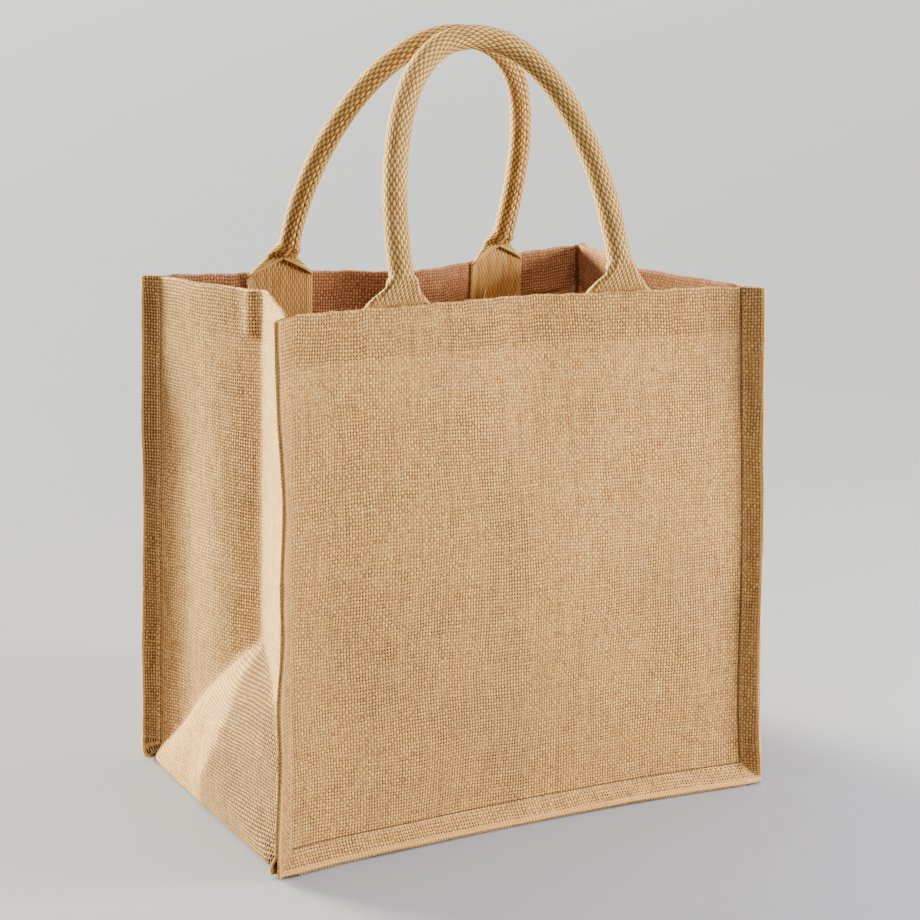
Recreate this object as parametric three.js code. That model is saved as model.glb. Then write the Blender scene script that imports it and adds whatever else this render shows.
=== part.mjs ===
// Jute shoulder bag: two panels and one U-shaped gusset strip of laminated hessian, joined by standing
// seams, with two padded webbing handles. Millimetres, +Z up, the front faces -Y.
// The origin is on the ground under the middle of the bag.
import * as THREE from 'three';

// Size of the body, measured between the seams
const RIM_HEIGHT = 300;
const RIM_WIDTH = 284.6;
const RIM_DEPTH = 186.9;
const BASE_WIDTH = 299.4;
const BASE_DEPTH = 198.5;

// Cloth, hem and webbing
const CLOTH = 1.8;
const HEM_DEPTH = 25;
const HEM_EXTRA = 1.6;
const HEM_TAPER = 7;
const GAP = 0.3;

// Standing seams: both layers run out from the seam at 45 degrees
const UPRIGHT_ALLOWANCE = 11.3;
const BASE_ALLOWANCE = 12.5;
const FIN_COS = Math.SQRT1_2;
const LAYER_OFFSET = (CLOTH + GAP) / 2;
const BEND_OFFSET = LAYER_OFFSET / FIN_COS;
const UPRIGHT_RUN = FIN_COS * (UPRIGHT_ALLOWANCE + LAYER_OFFSET);
const BASE_RUN = FIN_COS * (BASE_ALLOWANCE + LAYER_OFFSET);
const GROUND_CLEARANCE = 0.05;
const SEAM_LEVEL = BASE_RUN + FIN_COS * CLOTH / 2 + GROUND_CLEARANCE;
const SEAM_TOE = SEAM_LEVEL + 3.8;
const CORNER_RUN = 4;

// Rim: how much each corner stands over or under the rim height, and how the edges sag
const RIM_CORNERS = { frontLeft: 1.6, frontRight: -1.5, backLeft: 0.5, backRight: 2 };
const RIM_SAG = { front: 0, back: 4 };

// Panels: the inward bow at the base, at mid-height and at the rim, and the dip between the handles
const PANELS = {
  front: { side: -1, base: 9, middle: 0, rim: 11, dip: 4, dipAt: 7, dipLeft: 25, dipRight: 25, dipFade: 70 },
  back: { side: 1, base: 6, middle: 4, rim: 8, dip: 24, dipAt: 6, dipLeft: 28, dipRight: 52, dipFade: 90 },
};
// Soft waves pressed into the cloth of a panel: place, size and depth
const WAVES = [
  { side: -1, x: 75, z: 95, width: 26, height: 70, depth: 2.2 },
  { side: -1, x: 20, z: 160, width: 60, height: 60, depth: -2.5 },
  { side: -1, x: -70, z: 120, width: 45, height: 80, depth: -1.5 },
  { side: -1, x: -140, z: 150, width: 34, height: 200, depth: 9 },
  { side: 1, x: -60, z: 130, width: 40, height: 90, depth: 2 },
  { side: 1, x: 50, z: 90, width: 50, height: 60, depth: -2.5 },
];
const FRONT_RIGHT_SEAM = { bow: 3.2, level: 50, reach: 60 };

// Gusset: the inward fold of each side, the triangle under it, and the rounded fold at the ground.
// The swell bends the half behind the fold, in an S near the ground and in one hollow near the rim.
const FOLDS = {
  left: { side: -1, depth: 26.5, y: 1, puffBack: 0, swell: 1 },
  right: { side: 1, depth: 21, y: -10, puffBack: 6, swell: 0 },
};
const SWELL = { low: 0.085, lean: 0.4, hollow: 0.6, high: 0.7, from: 190, to: 270 };
const FOLD_APEX = 97;
const FRONT_FOOT = 42;
const BACK_FOOT = 8;
const FOLD_SOFTNESS = 0.03;
const DIAGONAL_SOFTNESS = 1.5;
const FALL_REACH = 30;
const TRIANGLE_BULGE = 7;
const BULGE_RUN = { near: 6, frontAbove: 95 };
const RIDGE = { height: 4, place: -0.14, foot: 0.3, bendLevel: 55, backWidth: 0.17, frontWidth: 0.9 };
const GROUND_FOLD_RADIUS = 4;
const BASE_SAG_RUN = 4.5;

// Handles: webbing flat at the tabs, rolled to a tube above them
const WEBBING_WIDTH = 40;
const WEBBING_THICKNESS = 1.8;
const TAB_LENGTH = 30;
const TAB_GAP = 0.8;
const FLARE_HEIGHT = 19;
const HANDLES = {
  front: {
    side: -1, radius: 6.7, tabs: [-72, 67],
    feet: [{ x: -71, y: -83 }, { x: 65, y: -83 }], legLean: 0.34, legRises: [50, 58],
    apex: { x: -1, y: -31, z: 441 }, apexTurn: 0, shoulder: 50,
  },
  back: {
    side: 1, radius: 6.3, tabs: [-71, 74],
    feet: [{ x: -68, y: 74 }, { x: 74, y: 68 }], legLean: -0.48, legRises: [55, 75],
    apex: { x: 2, y: -4, z: 441 }, apexTurn: -0.22, shoulder: 44,
  },
};

// Mesh steps
const UPPER_LEVELS = [0.41, 0.51, 0.61, 0.71, 0.82];
const STATIONS = 18;
const HEM_END = 0.945;
const STRIP_COLUMNS = [0, 0.13, 0.27, 0.42, 0.57, 0.7, 0.8];
const TAB_RINGS = [-TAB_LENGTH, -TAB_LENGTH / 2, 0, 2];
const FLARE_RINGS = [{ rise: 0.22, roll: 0.08 }, { rise: 0.45, roll: 0.32 }, { rise: 0.72, roll: 0.72 }];
const ARCH_STEPS = 13;
const OUTER_POINTS = 11;
const INNER_POINTS = 3;
const SEAM_HALF_ANGLE = THREE.MathUtils.degToRad(8);
const SEAM_GROOVE = 1.1;

const lerp = THREE.MathUtils.lerp;
const bump = (distance, reach) => Math.exp(-((distance / reach) ** 2));
const ease = (share) => THREE.MathUtils.smoothstep(share, 0, 1);

const halfWidth = (z) => lerp(BASE_WIDTH, RIM_WIDTH, z / RIM_HEIGHT) / 2;
const halfDepth = (z) => lerp(BASE_DEPTH, RIM_DEPTH, z / RIM_HEIGHT) / 2;

// Half the width at one of the four upright seams
function seamX(z, sideX, sideY) {
  const bowed = sideX > 0 && sideY < 0;
  const bow = bowed ? FRONT_RIGHT_SEAM.bow * bump(z - FRONT_RIGHT_SEAM.level, FRONT_RIGHT_SEAM.reach) : 0;
  return halfWidth(z) - bow;
}

// Height of the rim at a place given as shares of the half width and half depth
function rimLevel(u, v) {
  const c = RIM_CORNERS;
  const front = lerp(c.frontLeft, c.frontRight, (u + 1) / 2);
  const back = lerp(c.backLeft, c.backRight, (u + 1) / 2);
  const sag = lerp(RIM_SAG.front, RIM_SAG.back, (v + 1) / 2) * (1 - u * u);
  return RIM_HEIGHT + lerp(front, back, (v + 1) / 2) - sag;
}

// How far a panel is bowed in from the straight line between its upright seams
function panelBow(panel, x, z) {
  const share = Math.min(1, Math.max(0, z / RIM_HEIGHT));
  const u = x / (halfWidth(z) - BEND_OFFSET);
  const edge = Math.max(0, 1 - u * u);
  const bow = panel.middle + (panel.base - panel.middle) * (1 - share) ** 3
    + (panel.rim - panel.middle) * share ** 3;
  const dipWidth = x < panel.dipAt ? panel.dipLeft : panel.dipRight;
  const dip = panel.dip * bump(x - panel.dipAt, dipWidth) * bump(RIM_HEIGHT - z, panel.dipFade);
  let waves = 0;
  for (const w of WAVES) {
    if (w.side === panel.side) waves += w.depth * bump(x - w.x, w.width) * bump(z - w.z, w.height);
  }
  return (bow + waves) * edge + dip * Math.min(1, 3 * edge);
}

const panelY = (panel, x, z) => panel.side * (halfDepth(z) - panelBow(panel, x, z));

// Share of the way from a seam to the fold, with the fold rounded
const shareAcross = (w) => Math.max(0, 1 - (Math.hypot(w, FOLD_SOFTNESS) - FOLD_SOFTNESS));

// Height of the slanting folds over the triangle: straight behind the fold, and bowed in front of it
function slantLevel(w) {
  const across = shareAcross(w);
  if (w >= 0) return lerp(BACK_FOOT, FOLD_APEX, across);
  const off = 1 - across;
  return lerp(FOLD_APEX, FRONT_FOOT, 0.36 * off + 0.64 * off ** 4);
}

// Share of the triangle's bulge: it starts suddenly by the seams, but slowly in front and over the ground
function bulgeShare(w, z) {
  const distance = (1 - Math.abs(w)) * (halfDepth(0) - BEND_OFFSET);
  const slow = w < 0 ? ease(z / 35) : 0;
  const run = lerp(BULGE_RUN.near, BULGE_RUN.frontAbove, slow);
  return 1 - Math.max(0, 1 - distance / run) ** (2 - slow);
}

// Height of the triangle's soft ridge, which runs from the fold's apex down and to the back
function ridgeHeight(w, z) {
  const place = RIDGE.place + RIDGE.foot * Math.max(0, 1 - z / RIDGE.bendLevel) ** 1.1;
  const past = w - place;
  const shape = past < 0 ? Math.max(0, 1 + past / RIDGE.frontWidth) : bump(past, RIDGE.backWidth);
  return RIDGE.height * shape * ease(z / 25) * ease((FOLD_APEX - z) / 25);
}

// Inward depth of a side of the gusset from the plane between its seams. The fold is where w is 0,
// and slanting folds run from its apex to the bottom corners, with the bulging triangle below.
function foldDepth(fold, w, z) {
  const across = shareAcross(w);
  let upper = fold.depth * across;
  if (w > 0) {
    const turn = 2 * Math.PI * across * (1 + SWELL.lean * (1 - across));
    const low = SWELL.low * Math.sin(turn) - SWELL.hollow * across ** 2 * (1 - across);
    const high = -SWELL.high * across * (1 - across);
    const swell = lerp(low, high, ease((z - SWELL.from) / (SWELL.to - SWELL.from)));
    const puff = fold.puffBack * Math.sin(Math.PI * across) * Math.min(1, z / FOLD_APEX);
    upper += fold.depth * fold.swell * swell - puff;
  }
  const slant = slantLevel(w);
  const below = DIAGONAL_SOFTNESS * Math.log1p(Math.exp((slant - z) / DIAGONAL_SOFTNESS));
  const reach = FALL_REACH * lerp(0.25, 1, across);
  const fallen = (1 - Math.exp(-below / reach)) / (1 - Math.exp(-(slant + 0.5) / reach));
  return lerp(upper, -TRIANGLE_BULGE * bulgeShare(w, z), Math.min(1, fallen)) - ridgeHeight(w, z);
}

// Closed sheet: a grid of middle points, thickened outwards and inwards along its normals. The cells of
// the first quarter are split from their first corner, or across it where they are crossed.
function sheetGeometry(rows, offsets, crossed) {
  const nr = rows.length;
  const nc = rows[0].length;
  const at = (r, c) => rows[Math.min(nr - 1, Math.max(0, r))][Math.min(nc - 1, Math.max(0, c))];
  const outer = [];
  const inner = [];
  for (let r = 0; r < nr; r += 1) {
    for (let c = 0; c < nc; c += 1) {
      const along = at(r, c + 1).clone().sub(at(r, c)).normalize();
      const alongBack = at(r, c).clone().sub(at(r, c - 1)).normalize();
      const up = at(r + 1, c).clone().sub(at(r, c)).normalize();
      const upBack = at(r, c).clone().sub(at(r - 1, c)).normalize();
      const normal = along.add(alongBack).cross(up.add(upBack)).normalize();
      const [out, into] = offsets(r, c);
      outer.push(at(r, c).clone().addScaledVector(normal, out));
      inner.push(at(r, c).clone().addScaledVector(normal, -into));
    }
  }
  const points = [...outer, ...inner];
  const count = nr * nc;
  const index = [];
  const quad = (a, b, c, d, flip) => {
    if (flip) index.push(a, b, d, b, c, d);
    else index.push(a, b, c, a, c, d);
  };
  for (let r = 0; r + 1 < nr; r += 1) {
    for (let c = 0; c + 1 < nc; c += 1) {
      const a = r * nc + c;
      const flip = ((r < nr / 2) !== (c < nc / 2)) !== crossed;
      quad(a, a + 1, a + nc + 1, a + nc, flip);
      quad(count + a + 1, count + a, count + a + nc, count + a + nc + 1, !flip);
    }
  }
  const wall = (a, b) => quad(b, a, count + a, count + b, false);
  for (let c = 0; c + 1 < nc; c += 1) {
    wall(c, c + 1);
    wall((nr - 1) * nc + c + 1, (nr - 1) * nc + c);
  }
  for (let r = 0; r + 1 < nr; r += 1) {
    wall((r + 1) * nc, r * nc);
    wall(r * nc + nc - 1, (r + 1) * nc + nc - 1);
  }
  return meshGeometry(points, index);
}

function meshGeometry(points, index) {
  const geometry = new THREE.BufferGeometry();
  const places = points.flatMap((point) => [point.x, point.y, point.z]);
  geometry.setAttribute('position', new THREE.Float32BufferAttribute(places, 3));
  geometry.setIndex(index);
  geometry.computeVertexNormals();
  return geometry;
}

// Share of the height from the toe of the seam to the rim for each level: those under the apex cross
// the slanting fold behind where the strip's columns do, and two lie at the hem's edge
const foldToe = CLOTH / 2 + GROUND_FOLD_RADIUS;
const slantColumns = [...STRIP_COLUMNS, 1 - HEM_TAPER / (RIM_DEPTH / 2)];
const creaseLevels = slantColumns.map((w) => (slantLevel(w) - foldToe) / (RIM_HEIGHT - foldToe));
const hemShare = 1 - HEM_DEPTH / (RIM_HEIGHT - SEAM_TOE);
const hemLevels = [hemShare - 0.003, hemShare + 0.003, 0.965, 1];
const levelShares = [0, ...creaseLevels.reverse(), ...UPPER_LEVELS, ...hemLevels];
const inHem = (share) => share > hemShare;

// Shares of the half width for the stations across a panel and along the base
const innerShares = Array.from({ length: STATIONS + 1 }, (_, i) => HEM_END * ((2 * i) / STATIONS - 1));
const stationShares = [-1, ...innerShares, 1];

// Point of a panel's own layer. A share past the seam is a seam allowance: 1 is its free edge.
function panelPoint(panel, column, row) {
  const { sideX, share } = column;
  const rim = rimLevel(share, panel.side);
  const z = row.fin || row.foot ? SEAM_LEVEL + BEND_OFFSET : lerp(SEAM_TOE, rim, row.share);
  const seam = seamX(z, share, panel.side);
  const x = column.atSeam ? sideX * (seam - BEND_OFFSET) : share * (seam - CORNER_RUN);
  const y = column.atSeam ? panel.side * halfDepth(z) : panelY(panel, x, z);
  const upright = column.fin ? UPRIGHT_RUN : 0;
  const base = row.fin ? BASE_RUN : 0;
  return new THREE.Vector3(x + sideX * upright, y + panel.side * Math.max(upright, base), z - base);
}

function panelGeometry(panel) {
  const edges = (sideX) => [
    { sideX, share: sideX, fin: true, atSeam: true },
    { sideX, share: sideX, fin: false, atSeam: true },
  ];
  const columns = [
    ...edges(-1),
    ...stationShares.map((share) => ({ sideX: Math.sign(share), share, fin: false, atSeam: false })),
    ...edges(1).reverse(),
  ];
  const rows = [{ fin: true }, { foot: true }, ...levelShares.map((share) => ({ share }))];
  if (panel.side > 0) columns.reverse();
  const grid = rows.map((row) => columns.map((column) => panelPoint(panel, column, row)));
  return sheetGeometry(grid, (r, c) => {
    const hem = rows[r].share !== undefined && inHem(rows[r].share);
    const seam = columns[c].atSeam;
    return [CLOTH / 2, CLOTH / 2 + (hem && !seam && Math.abs(columns[c].share) < 1 ? HEM_EXTRA : 0)];
  }, false);
}

// Places across the gusset strip, from the front seam (-1) to the back seam (1)
function stripColumns() {
  const half = [...STRIP_COLUMNS.slice(1), 1 - HEM_TAPER / (RIM_DEPTH / 2), 1];
  return [...half.map((w) => -w).reverse(), 0, ...half];
}

// The strip's ground line: how near a place is to a seam, as 1 at the seam and 0 once it lies flat
function seamNearness(w, z) {
  const distance = (1 - Math.abs(w)) * (halfDepth(z) - BEND_OFFSET);
  return Math.max(0, 1 - distance / BASE_SAG_RUN) ** 2;
}

// Middle height of the base cloth
const baseLevel = (w) => lerp(CLOTH / 2, SEAM_LEVEL, seamNearness(w, 0));

// How far out the ground fold lies from the middle of the bag
const groundFoldX = (w, sideX) => seamX(SEAM_LEVEL, sideX, w) + TRIANGLE_BULGE * bulgeShare(w, 0);

// A point of the upright part of the strip
function sidePoint(fold, w, share) {
  const sideX = fold.side;
  const toe = lerp(baseLevel(w) + GROUND_FOLD_RADIUS, SEAM_TOE, seamNearness(w, 0));
  const rim = rimLevel(sideX, w);
  const z = lerp(toe, rim, share);
  const y = w * (halfDepth(z) - BEND_OFFSET) + fold.y * (1 - Math.abs(w));
  const depth = Math.abs(w) < 1 ? foldDepth(fold, w, z) : 0;
  const front = seamX(z, sideX, -1);
  const back = seamX(z, sideX, 1);
  return new THREE.Vector3(sideX * (lerp(front, back, (w + 1) / 2) - depth), y, z);
}

// A point of the base part of the strip
function basePoint(w, share) {
  const sideX = Math.sign(share) || 1;
  const reach = lerp(groundFoldX(w, sideX) - GROUND_FOLD_RADIUS, seamX(SEAM_LEVEL, sideX, w) - CORNER_RUN,
    seamNearness(w, 0));
  const x = share * reach;
  const panel = w < 0 ? PANELS.front : PANELS.back;
  const bow = panelBow(panel, share * (seamX(SEAM_LEVEL, sideX, w) - CORNER_RUN), SEAM_LEVEL);
  const middle = lerp(FOLDS.left.y, FOLDS.right.y, (share + 1) / 2) * (1 - Math.abs(w));
  const y = w * (halfDepth(SEAM_LEVEL) - BEND_OFFSET - bow) + middle;
  return new THREE.Vector3(x, y, baseLevel(w));
}

// Points of the fold between a side and the base, as an arc that narrows to the corner of the seam
function cornerPoint(fold, w, turn) {
  const start = sidePoint(fold, w, 0);
  const end = basePoint(w, fold.side);
  const corner = new THREE.Vector3(start.x, (start.y + end.y) / 2, end.z);
  const round = 1 - seamNearness(w, 0);
  const angle = turn * Math.PI / 2;
  const arc = new THREE.Vector3(
    lerp(end.x, start.x, Math.cos(angle)),
    lerp(start.y, end.y, turn),
    lerp(start.z, end.z, Math.sin(angle)),
  );
  const sharp = turn <= 0.5
    ? start.clone().lerp(corner, turn * 2)
    : corner.clone().lerp(end, turn * 2 - 1);
  return sharp.lerp(arc, round);
}

// The strip's seam allowance beside a point of the seam, on its sides, its base or a corner of them
function stripFin(point, w, place, sideX) {
  const upright = place === 'base' ? 0 : UPRIGHT_RUN;
  const base = place === 'side' ? 0 : BASE_RUN;
  const out = Math.sign(w) * Math.max(upright, base);
  return point.clone().add(new THREE.Vector3(sideX * upright, out, -base));
}

function gussetGeometry() {
  const places = stripColumns();
  const rows = [];
  const hems = [];
  const addRow = (make, place, sideX, hem) => {
    const row = places.map(make);
    row.unshift(stripFin(row[0], -1, place, sideX));
    row.push(stripFin(row[row.length - 1], 1, place, sideX));
    rows.push(row);
    hems.push(hem);
  };
  const addSide = (fold, shares) => {
    for (const share of shares) addRow((w) => sidePoint(fold, w, share), 'side', fold.side, inHem(share));
  };
  const turns = [0.25, 0.5, 0.75];
  const addCorner = (fold, list) => {
    for (const turn of list) {
      const place = turn < 0.5 ? 'side' : 'base';
      addRow((w) => cornerPoint(fold, w, turn), turn === 0.5 ? 'corner' : place, fold.side, false);
    }
  };
  addSide(FOLDS.left, [...levelShares].reverse());
  addCorner(FOLDS.left, turns);
  for (const share of stationShares) addRow((w) => basePoint(w, share), 'base', 1, false);
  addCorner(FOLDS.right, [...turns].reverse());
  addSide(FOLDS.right, levelShares);
  const last = rows[0].length - 1;
  return sheetGeometry(rows, (r, c) => {
    const clear = c > 1 && c < last - 1;
    return [CLOTH / 2, CLOTH / 2 + (hems[r] && clear ? HEM_EXTRA : 0)];
  }, true);
}

// Centre line of a handle's arch, from its left foot to its right foot
function archCurve(handle) {
  const foot = (i) => {
    const { x, y } = handle.feet[i];
    return new THREE.Vector3(x, y, RIM_HEIGHT + FLARE_HEIGHT);
  };
  const apex = new THREE.Vector3(handle.apex.x, handle.apex.y, handle.apex.z);
  const up = (i) => new THREE.Vector3(0, handle.legLean, 1).multiplyScalar(handle.legRises[i]);
  const across = new THREE.Vector3(1, handle.apexTurn, 0).normalize().multiplyScalar(handle.shoulder);
  const path = new THREE.CurvePath();
  path.add(new THREE.CubicBezierCurve3(foot(0), foot(0).add(up(0)), apex.clone().sub(across), apex));
  path.add(new THREE.CubicBezierCurve3(apex, apex.clone().add(across), foot(1).add(up(1)), foot(1)));
  return path;
}

// Loop of a tube: the outer face of the rolled webbing, then the shallow groove where its edges meet
function tubeLoop(handle, centre, tangent) {
  const facing = new THREE.Vector3(0, handle.side, 0);
  const normal = facing.addScaledVector(tangent, -facing.dot(tangent)).normalize();
  const across = new THREE.Vector3().crossVectors(normal, tangent).multiplyScalar(handle.side);
  const limit = Math.PI - SEAM_HALF_ANGLE;
  const place = (angle, radius) => centre.clone()
    .addScaledVector(normal, radius * Math.cos(angle))
    .addScaledVector(across, radius * Math.sin(angle));
  const loop = [];
  for (let i = 0; i < OUTER_POINTS; i += 1) {
    loop.push(place(lerp(-limit, limit, i / (OUTER_POINTS - 1)), handle.radius));
  }
  for (let i = 1; i <= INNER_POINTS; i += 1) {
    const share = i / (INNER_POINTS + 1);
    const angle = lerp(limit, 2 * Math.PI - limit, share);
    loop.push(place(angle, handle.radius - SEAM_GROOVE * Math.sin(Math.PI * share)));
  }
  return loop;
}

// Loop of the flat webbing, lying on the inner face of the panel's hem. Its points run the way that
// the tube's do: towards the middle of the arch.
function flatLoop(handle, panel, end, z) {
  const rest = CLOTH / 2 + HEM_EXTRA + TAB_GAP;
  const level = Math.min(z, RIM_HEIGHT);
  const inwards = end === 0 ? 1 : -1;
  const place = (share, depth) => {
    const x = handle.tabs[end] + inwards * share * WEBBING_WIDTH / 2;
    return new THREE.Vector3(x, panelY(panel, x, level) - panel.side * depth, z);
  };
  const loop = [];
  for (let i = 0; i < OUTER_POINTS; i += 1) {
    loop.push(place(lerp(-1, 1, i / (OUTER_POINTS - 1)), rest));
  }
  for (let i = 1; i <= INNER_POINTS; i += 1) {
    loop.push(place(lerp(1, -1, i / (INNER_POINTS + 1)), rest + WEBBING_THICKNESS));
  }
  return loop;
}

// Loops of one end of a handle, from the lower edge of its tab to the foot of the arch
function legLoops(handle, panel, tangent, end) {
  const rim = rimLevel(handle.tabs[end] / (RIM_WIDTH / 2), handle.side);
  const loops = TAB_RINGS.map((rise) => flatLoop(handle, panel, end, rim + rise));
  const foot = handle.feet[end];
  for (const ring of FLARE_RINGS) {
    const z = lerp(rim + TAB_RINGS[TAB_RINGS.length - 1], RIM_HEIGHT + FLARE_HEIGHT, ring.rise);
    const drop = RIM_HEIGHT + FLARE_HEIGHT - z;
    const centre = new THREE.Vector3(foot.x, foot.y - handle.legLean * drop, z);
    const round = tubeLoop(handle, centre, tangent);
    loops.push(flatLoop(handle, panel, end, z).map((point, i) => point.lerp(round[i], ring.roll)));
  }
  return loops;
}

// Closed skin over a row of loops, with a cap on each end
function loftGeometry(loops, mirrored) {
  const size = loops[0].length;
  const index = [];
  const triangle = (a, b, c) => index.push(...(mirrored ? [a, c, b] : [a, b, c]));
  for (let r = 0; r + 1 < loops.length; r += 1) {
    for (let i = 0; i < size; i += 1) {
      const a = r * size + i;
      const b = r * size + (i + 1) % size;
      triangle(a, b, b + size);
      triangle(a, b + size, a + size);
    }
  }
  const flat = loops[0].map((point) => new THREE.Vector2(point.x, point.y));
  const last = (loops.length - 1) * size;
  for (const [a, b, c] of THREE.ShapeUtils.triangulateShape(flat, [])) {
    const turn = Math.sign((flat[b].x - flat[a].x) * (flat[c].y - flat[a].y)
      - (flat[c].x - flat[a].x) * (flat[b].y - flat[a].y)) * (mirrored ? -1 : 1);
    const [first, second] = turn > 0 ? [c, b] : [b, c];
    triangle(a, first, second);
    triangle(last + a, last + second, last + first);
  }
  return meshGeometry(loops.flat(), index);
}

function handleGeometry(handle, panel) {
  const curve = archCurve(handle);
  const [rising, falling] = curve.curves;
  const loops = legLoops(handle, panel, rising.getTangent(0), 0);
  for (let i = 0; i <= ARCH_STEPS; i += 1) {
    const t = i / ARCH_STEPS;
    loops.push(tubeLoop(handle, rising.getPoint(t), rising.getTangent(t)));
  }
  for (let i = 1; i <= ARCH_STEPS; i += 1) {
    const t = i / ARCH_STEPS;
    loops.push(tubeLoop(handle, falling.getPoint(t), falling.getTangent(t)));
  }
  loops.push(...legLoops(handle, panel, falling.getTangent(1), 1).reverse());
  return loftGeometry(loops, handle.side > 0);
}

// The jute is laminated on its inner face, and the handles are cotton webbing
const jute = new THREE.MeshStandardMaterial({ color: 0xc39a68, roughness: 0.95, metalness: 0 });
const webbing = new THREE.MeshStandardMaterial({ color: 0xd6b784, roughness: 0.9, metalness: 0 });

function addPiece(group, name, geometry, material) {
  const mesh = new THREE.Mesh(geometry, material);
  mesh.name = name;
  group.add(mesh);
}

const group = new THREE.Group();
addPiece(group, 'panel_front', panelGeometry(PANELS.front), jute);
addPiece(group, 'panel_back', panelGeometry(PANELS.back), jute);
addPiece(group, 'gusset', gussetGeometry(), jute);
addPiece(group, 'handle_front', handleGeometry(HANDLES.front, PANELS.front), webbing);
addPiece(group, 'handle_back', handleGeometry(HANDLES.back, PANELS.back), webbing);

export default group;
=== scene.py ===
import logging
import math
from collections.abc import Callable
from dataclasses import dataclass, field
from enum import Enum, IntEnum
from typing import ClassVar

import bpy
import numpy as np
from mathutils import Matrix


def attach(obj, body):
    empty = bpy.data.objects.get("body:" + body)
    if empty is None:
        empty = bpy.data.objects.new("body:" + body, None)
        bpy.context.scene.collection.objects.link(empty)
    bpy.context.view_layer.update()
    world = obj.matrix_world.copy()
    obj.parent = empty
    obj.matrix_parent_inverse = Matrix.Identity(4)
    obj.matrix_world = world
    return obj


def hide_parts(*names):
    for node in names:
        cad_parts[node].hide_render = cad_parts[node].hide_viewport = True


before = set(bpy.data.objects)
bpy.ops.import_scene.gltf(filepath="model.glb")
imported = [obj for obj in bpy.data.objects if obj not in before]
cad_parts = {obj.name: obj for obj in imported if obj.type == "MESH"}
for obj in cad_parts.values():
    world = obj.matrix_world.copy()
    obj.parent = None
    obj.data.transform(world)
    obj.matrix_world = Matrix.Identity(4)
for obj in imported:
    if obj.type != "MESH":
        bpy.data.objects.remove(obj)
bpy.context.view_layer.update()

log = logging.getLogger("jute_bag")

MM = 0.001
ROOT_TWO = math.sqrt(2)
Values = float | np.ndarray
Surface = Callable[[Values, Values], np.ndarray]
Colour = tuple[float, float, float]
Place = tuple[float, float, float]
Pair = tuple[float, float]


class Side(IntEnum):
    """The two wide sides of the bag, as the sign of Y."""

    FRONT = -1
    BACK = 1


class Flank(IntEnum):
    """The two narrow sides of the bag, as the sign of X."""

    LEFT = -1
    RIGHT = 1


class Zone(IntEnum):
    """The faces of a cloth that are finished apart, as material slots."""

    OUTSIDE = 0
    LAMINATE = 1
    HEM_INSIDE = 2


class Slot(Enum):
    """The record's material slots."""

    JUTE = "jute"
    WEBBING = "webbing"


def lerp(start: Values, end: Values, share: Values) -> Values:
    """Value at a share of the way from start to end."""
    return start + (end - start) * share


def hump(distance: Values, reach: Values) -> Values:
    """Bell curve that is 1 at no distance."""
    return np.exp(-((distance / reach) ** 2))


def ease(share: Values) -> Values:
    """Smooth step from 0 to 1."""
    share = np.clip(share, 0.0, 1.0)
    return share * share * (3.0 - 2.0 * share)


def past_bend(distance: Values, softness: float) -> Values:
    """Distance gone past a bend, rounded off near the bend itself."""
    return 0.5 * (distance + np.hypot(distance, softness))


def unit(vectors: np.ndarray) -> np.ndarray:
    """Vectors of length one along the given ones."""
    length = np.linalg.norm(vectors, axis=-1, keepdims=True)
    return vectors / np.maximum(length, 1e-9)


def steps(*stops: tuple[float, int]) -> np.ndarray:
    """Places along a line.

    Args:
        *stops: Each stretch's end and its number of steps; the first stretch is the start alone.

    Returns:
        All the places in order.
    """
    places = [np.array([stops[0][0]])]
    for end, count in stops[1:]:
        places.append(np.linspace(places[-1][-1], end, count + 1)[1:])
    return np.concatenate(places)


def mirrored(half: np.ndarray) -> np.ndarray:
    """Places from 0 outwards, with their mirror image before them."""
    return np.concatenate([-half[:0:-1], half])


def added_up(parts: np.ndarray) -> np.ndarray:
    """Running sum that starts from 0."""
    return np.concatenate([[0.0], np.cumsum(parts)])


def step_lengths(line: np.ndarray) -> np.ndarray:
    """Length of each step from one point of a line to the next."""
    return np.linalg.norm(np.diff(line, axis=0), axis=1)


def put_in_scene(name: str, data: bpy.types.ID) -> bpy.types.Object:
    """Add an object to the scene.

    Args:
        name: Name of the object.
        data: Its mesh, light or camera.

    Returns:
        The object.
    """
    thing = bpy.data.objects.new(name, data)
    bpy.context.scene.collection.objects.link(thing)
    return thing


def smooth_mesh(name: str, points: np.ndarray, faces: list) -> bpy.types.Mesh:
    """Make a mesh that is shaded smooth.

    Args:
        name: Name of the mesh.
        points: Its points in millimetres.
        faces: The numbers of each face's points.

    Returns:
        The mesh.
    """
    mesh = bpy.data.meshes.new(name)
    mesh.from_pydata((points * MM).tolist(), [], faces)
    mesh.polygons.foreach_set("use_smooth", np.ones(len(faces), bool))
    return mesh


@dataclass(frozen=True)
class Wave:
    """A shallow hollow in a panel, or a swelling where its depth is below 0."""

    x: float
    z: float
    width: float
    height: float
    depth: float

    def at(self, x: Values, z: Values) -> Values:
        """Depth that it adds at a place."""
        return self.depth * hump(x - self.x, self.width) * hump(z - self.z, self.height)


@dataclass(frozen=True)
class PanelForm:
    """How far a wide side is bowed in, with its dip at the rim between the handles."""

    side: Side
    base: float
    middle: float
    rim: float
    dip: float
    dip_at: float
    dip_left: float
    dip_right: float
    dip_fade: float
    waves: tuple[Wave, ...]


@dataclass(frozen=True)
class FoldForm:
    """The pressed inward fold of a narrow side."""

    flank: Flank
    depth: float
    y: float
    puff_back: float
    swell: float


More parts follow.
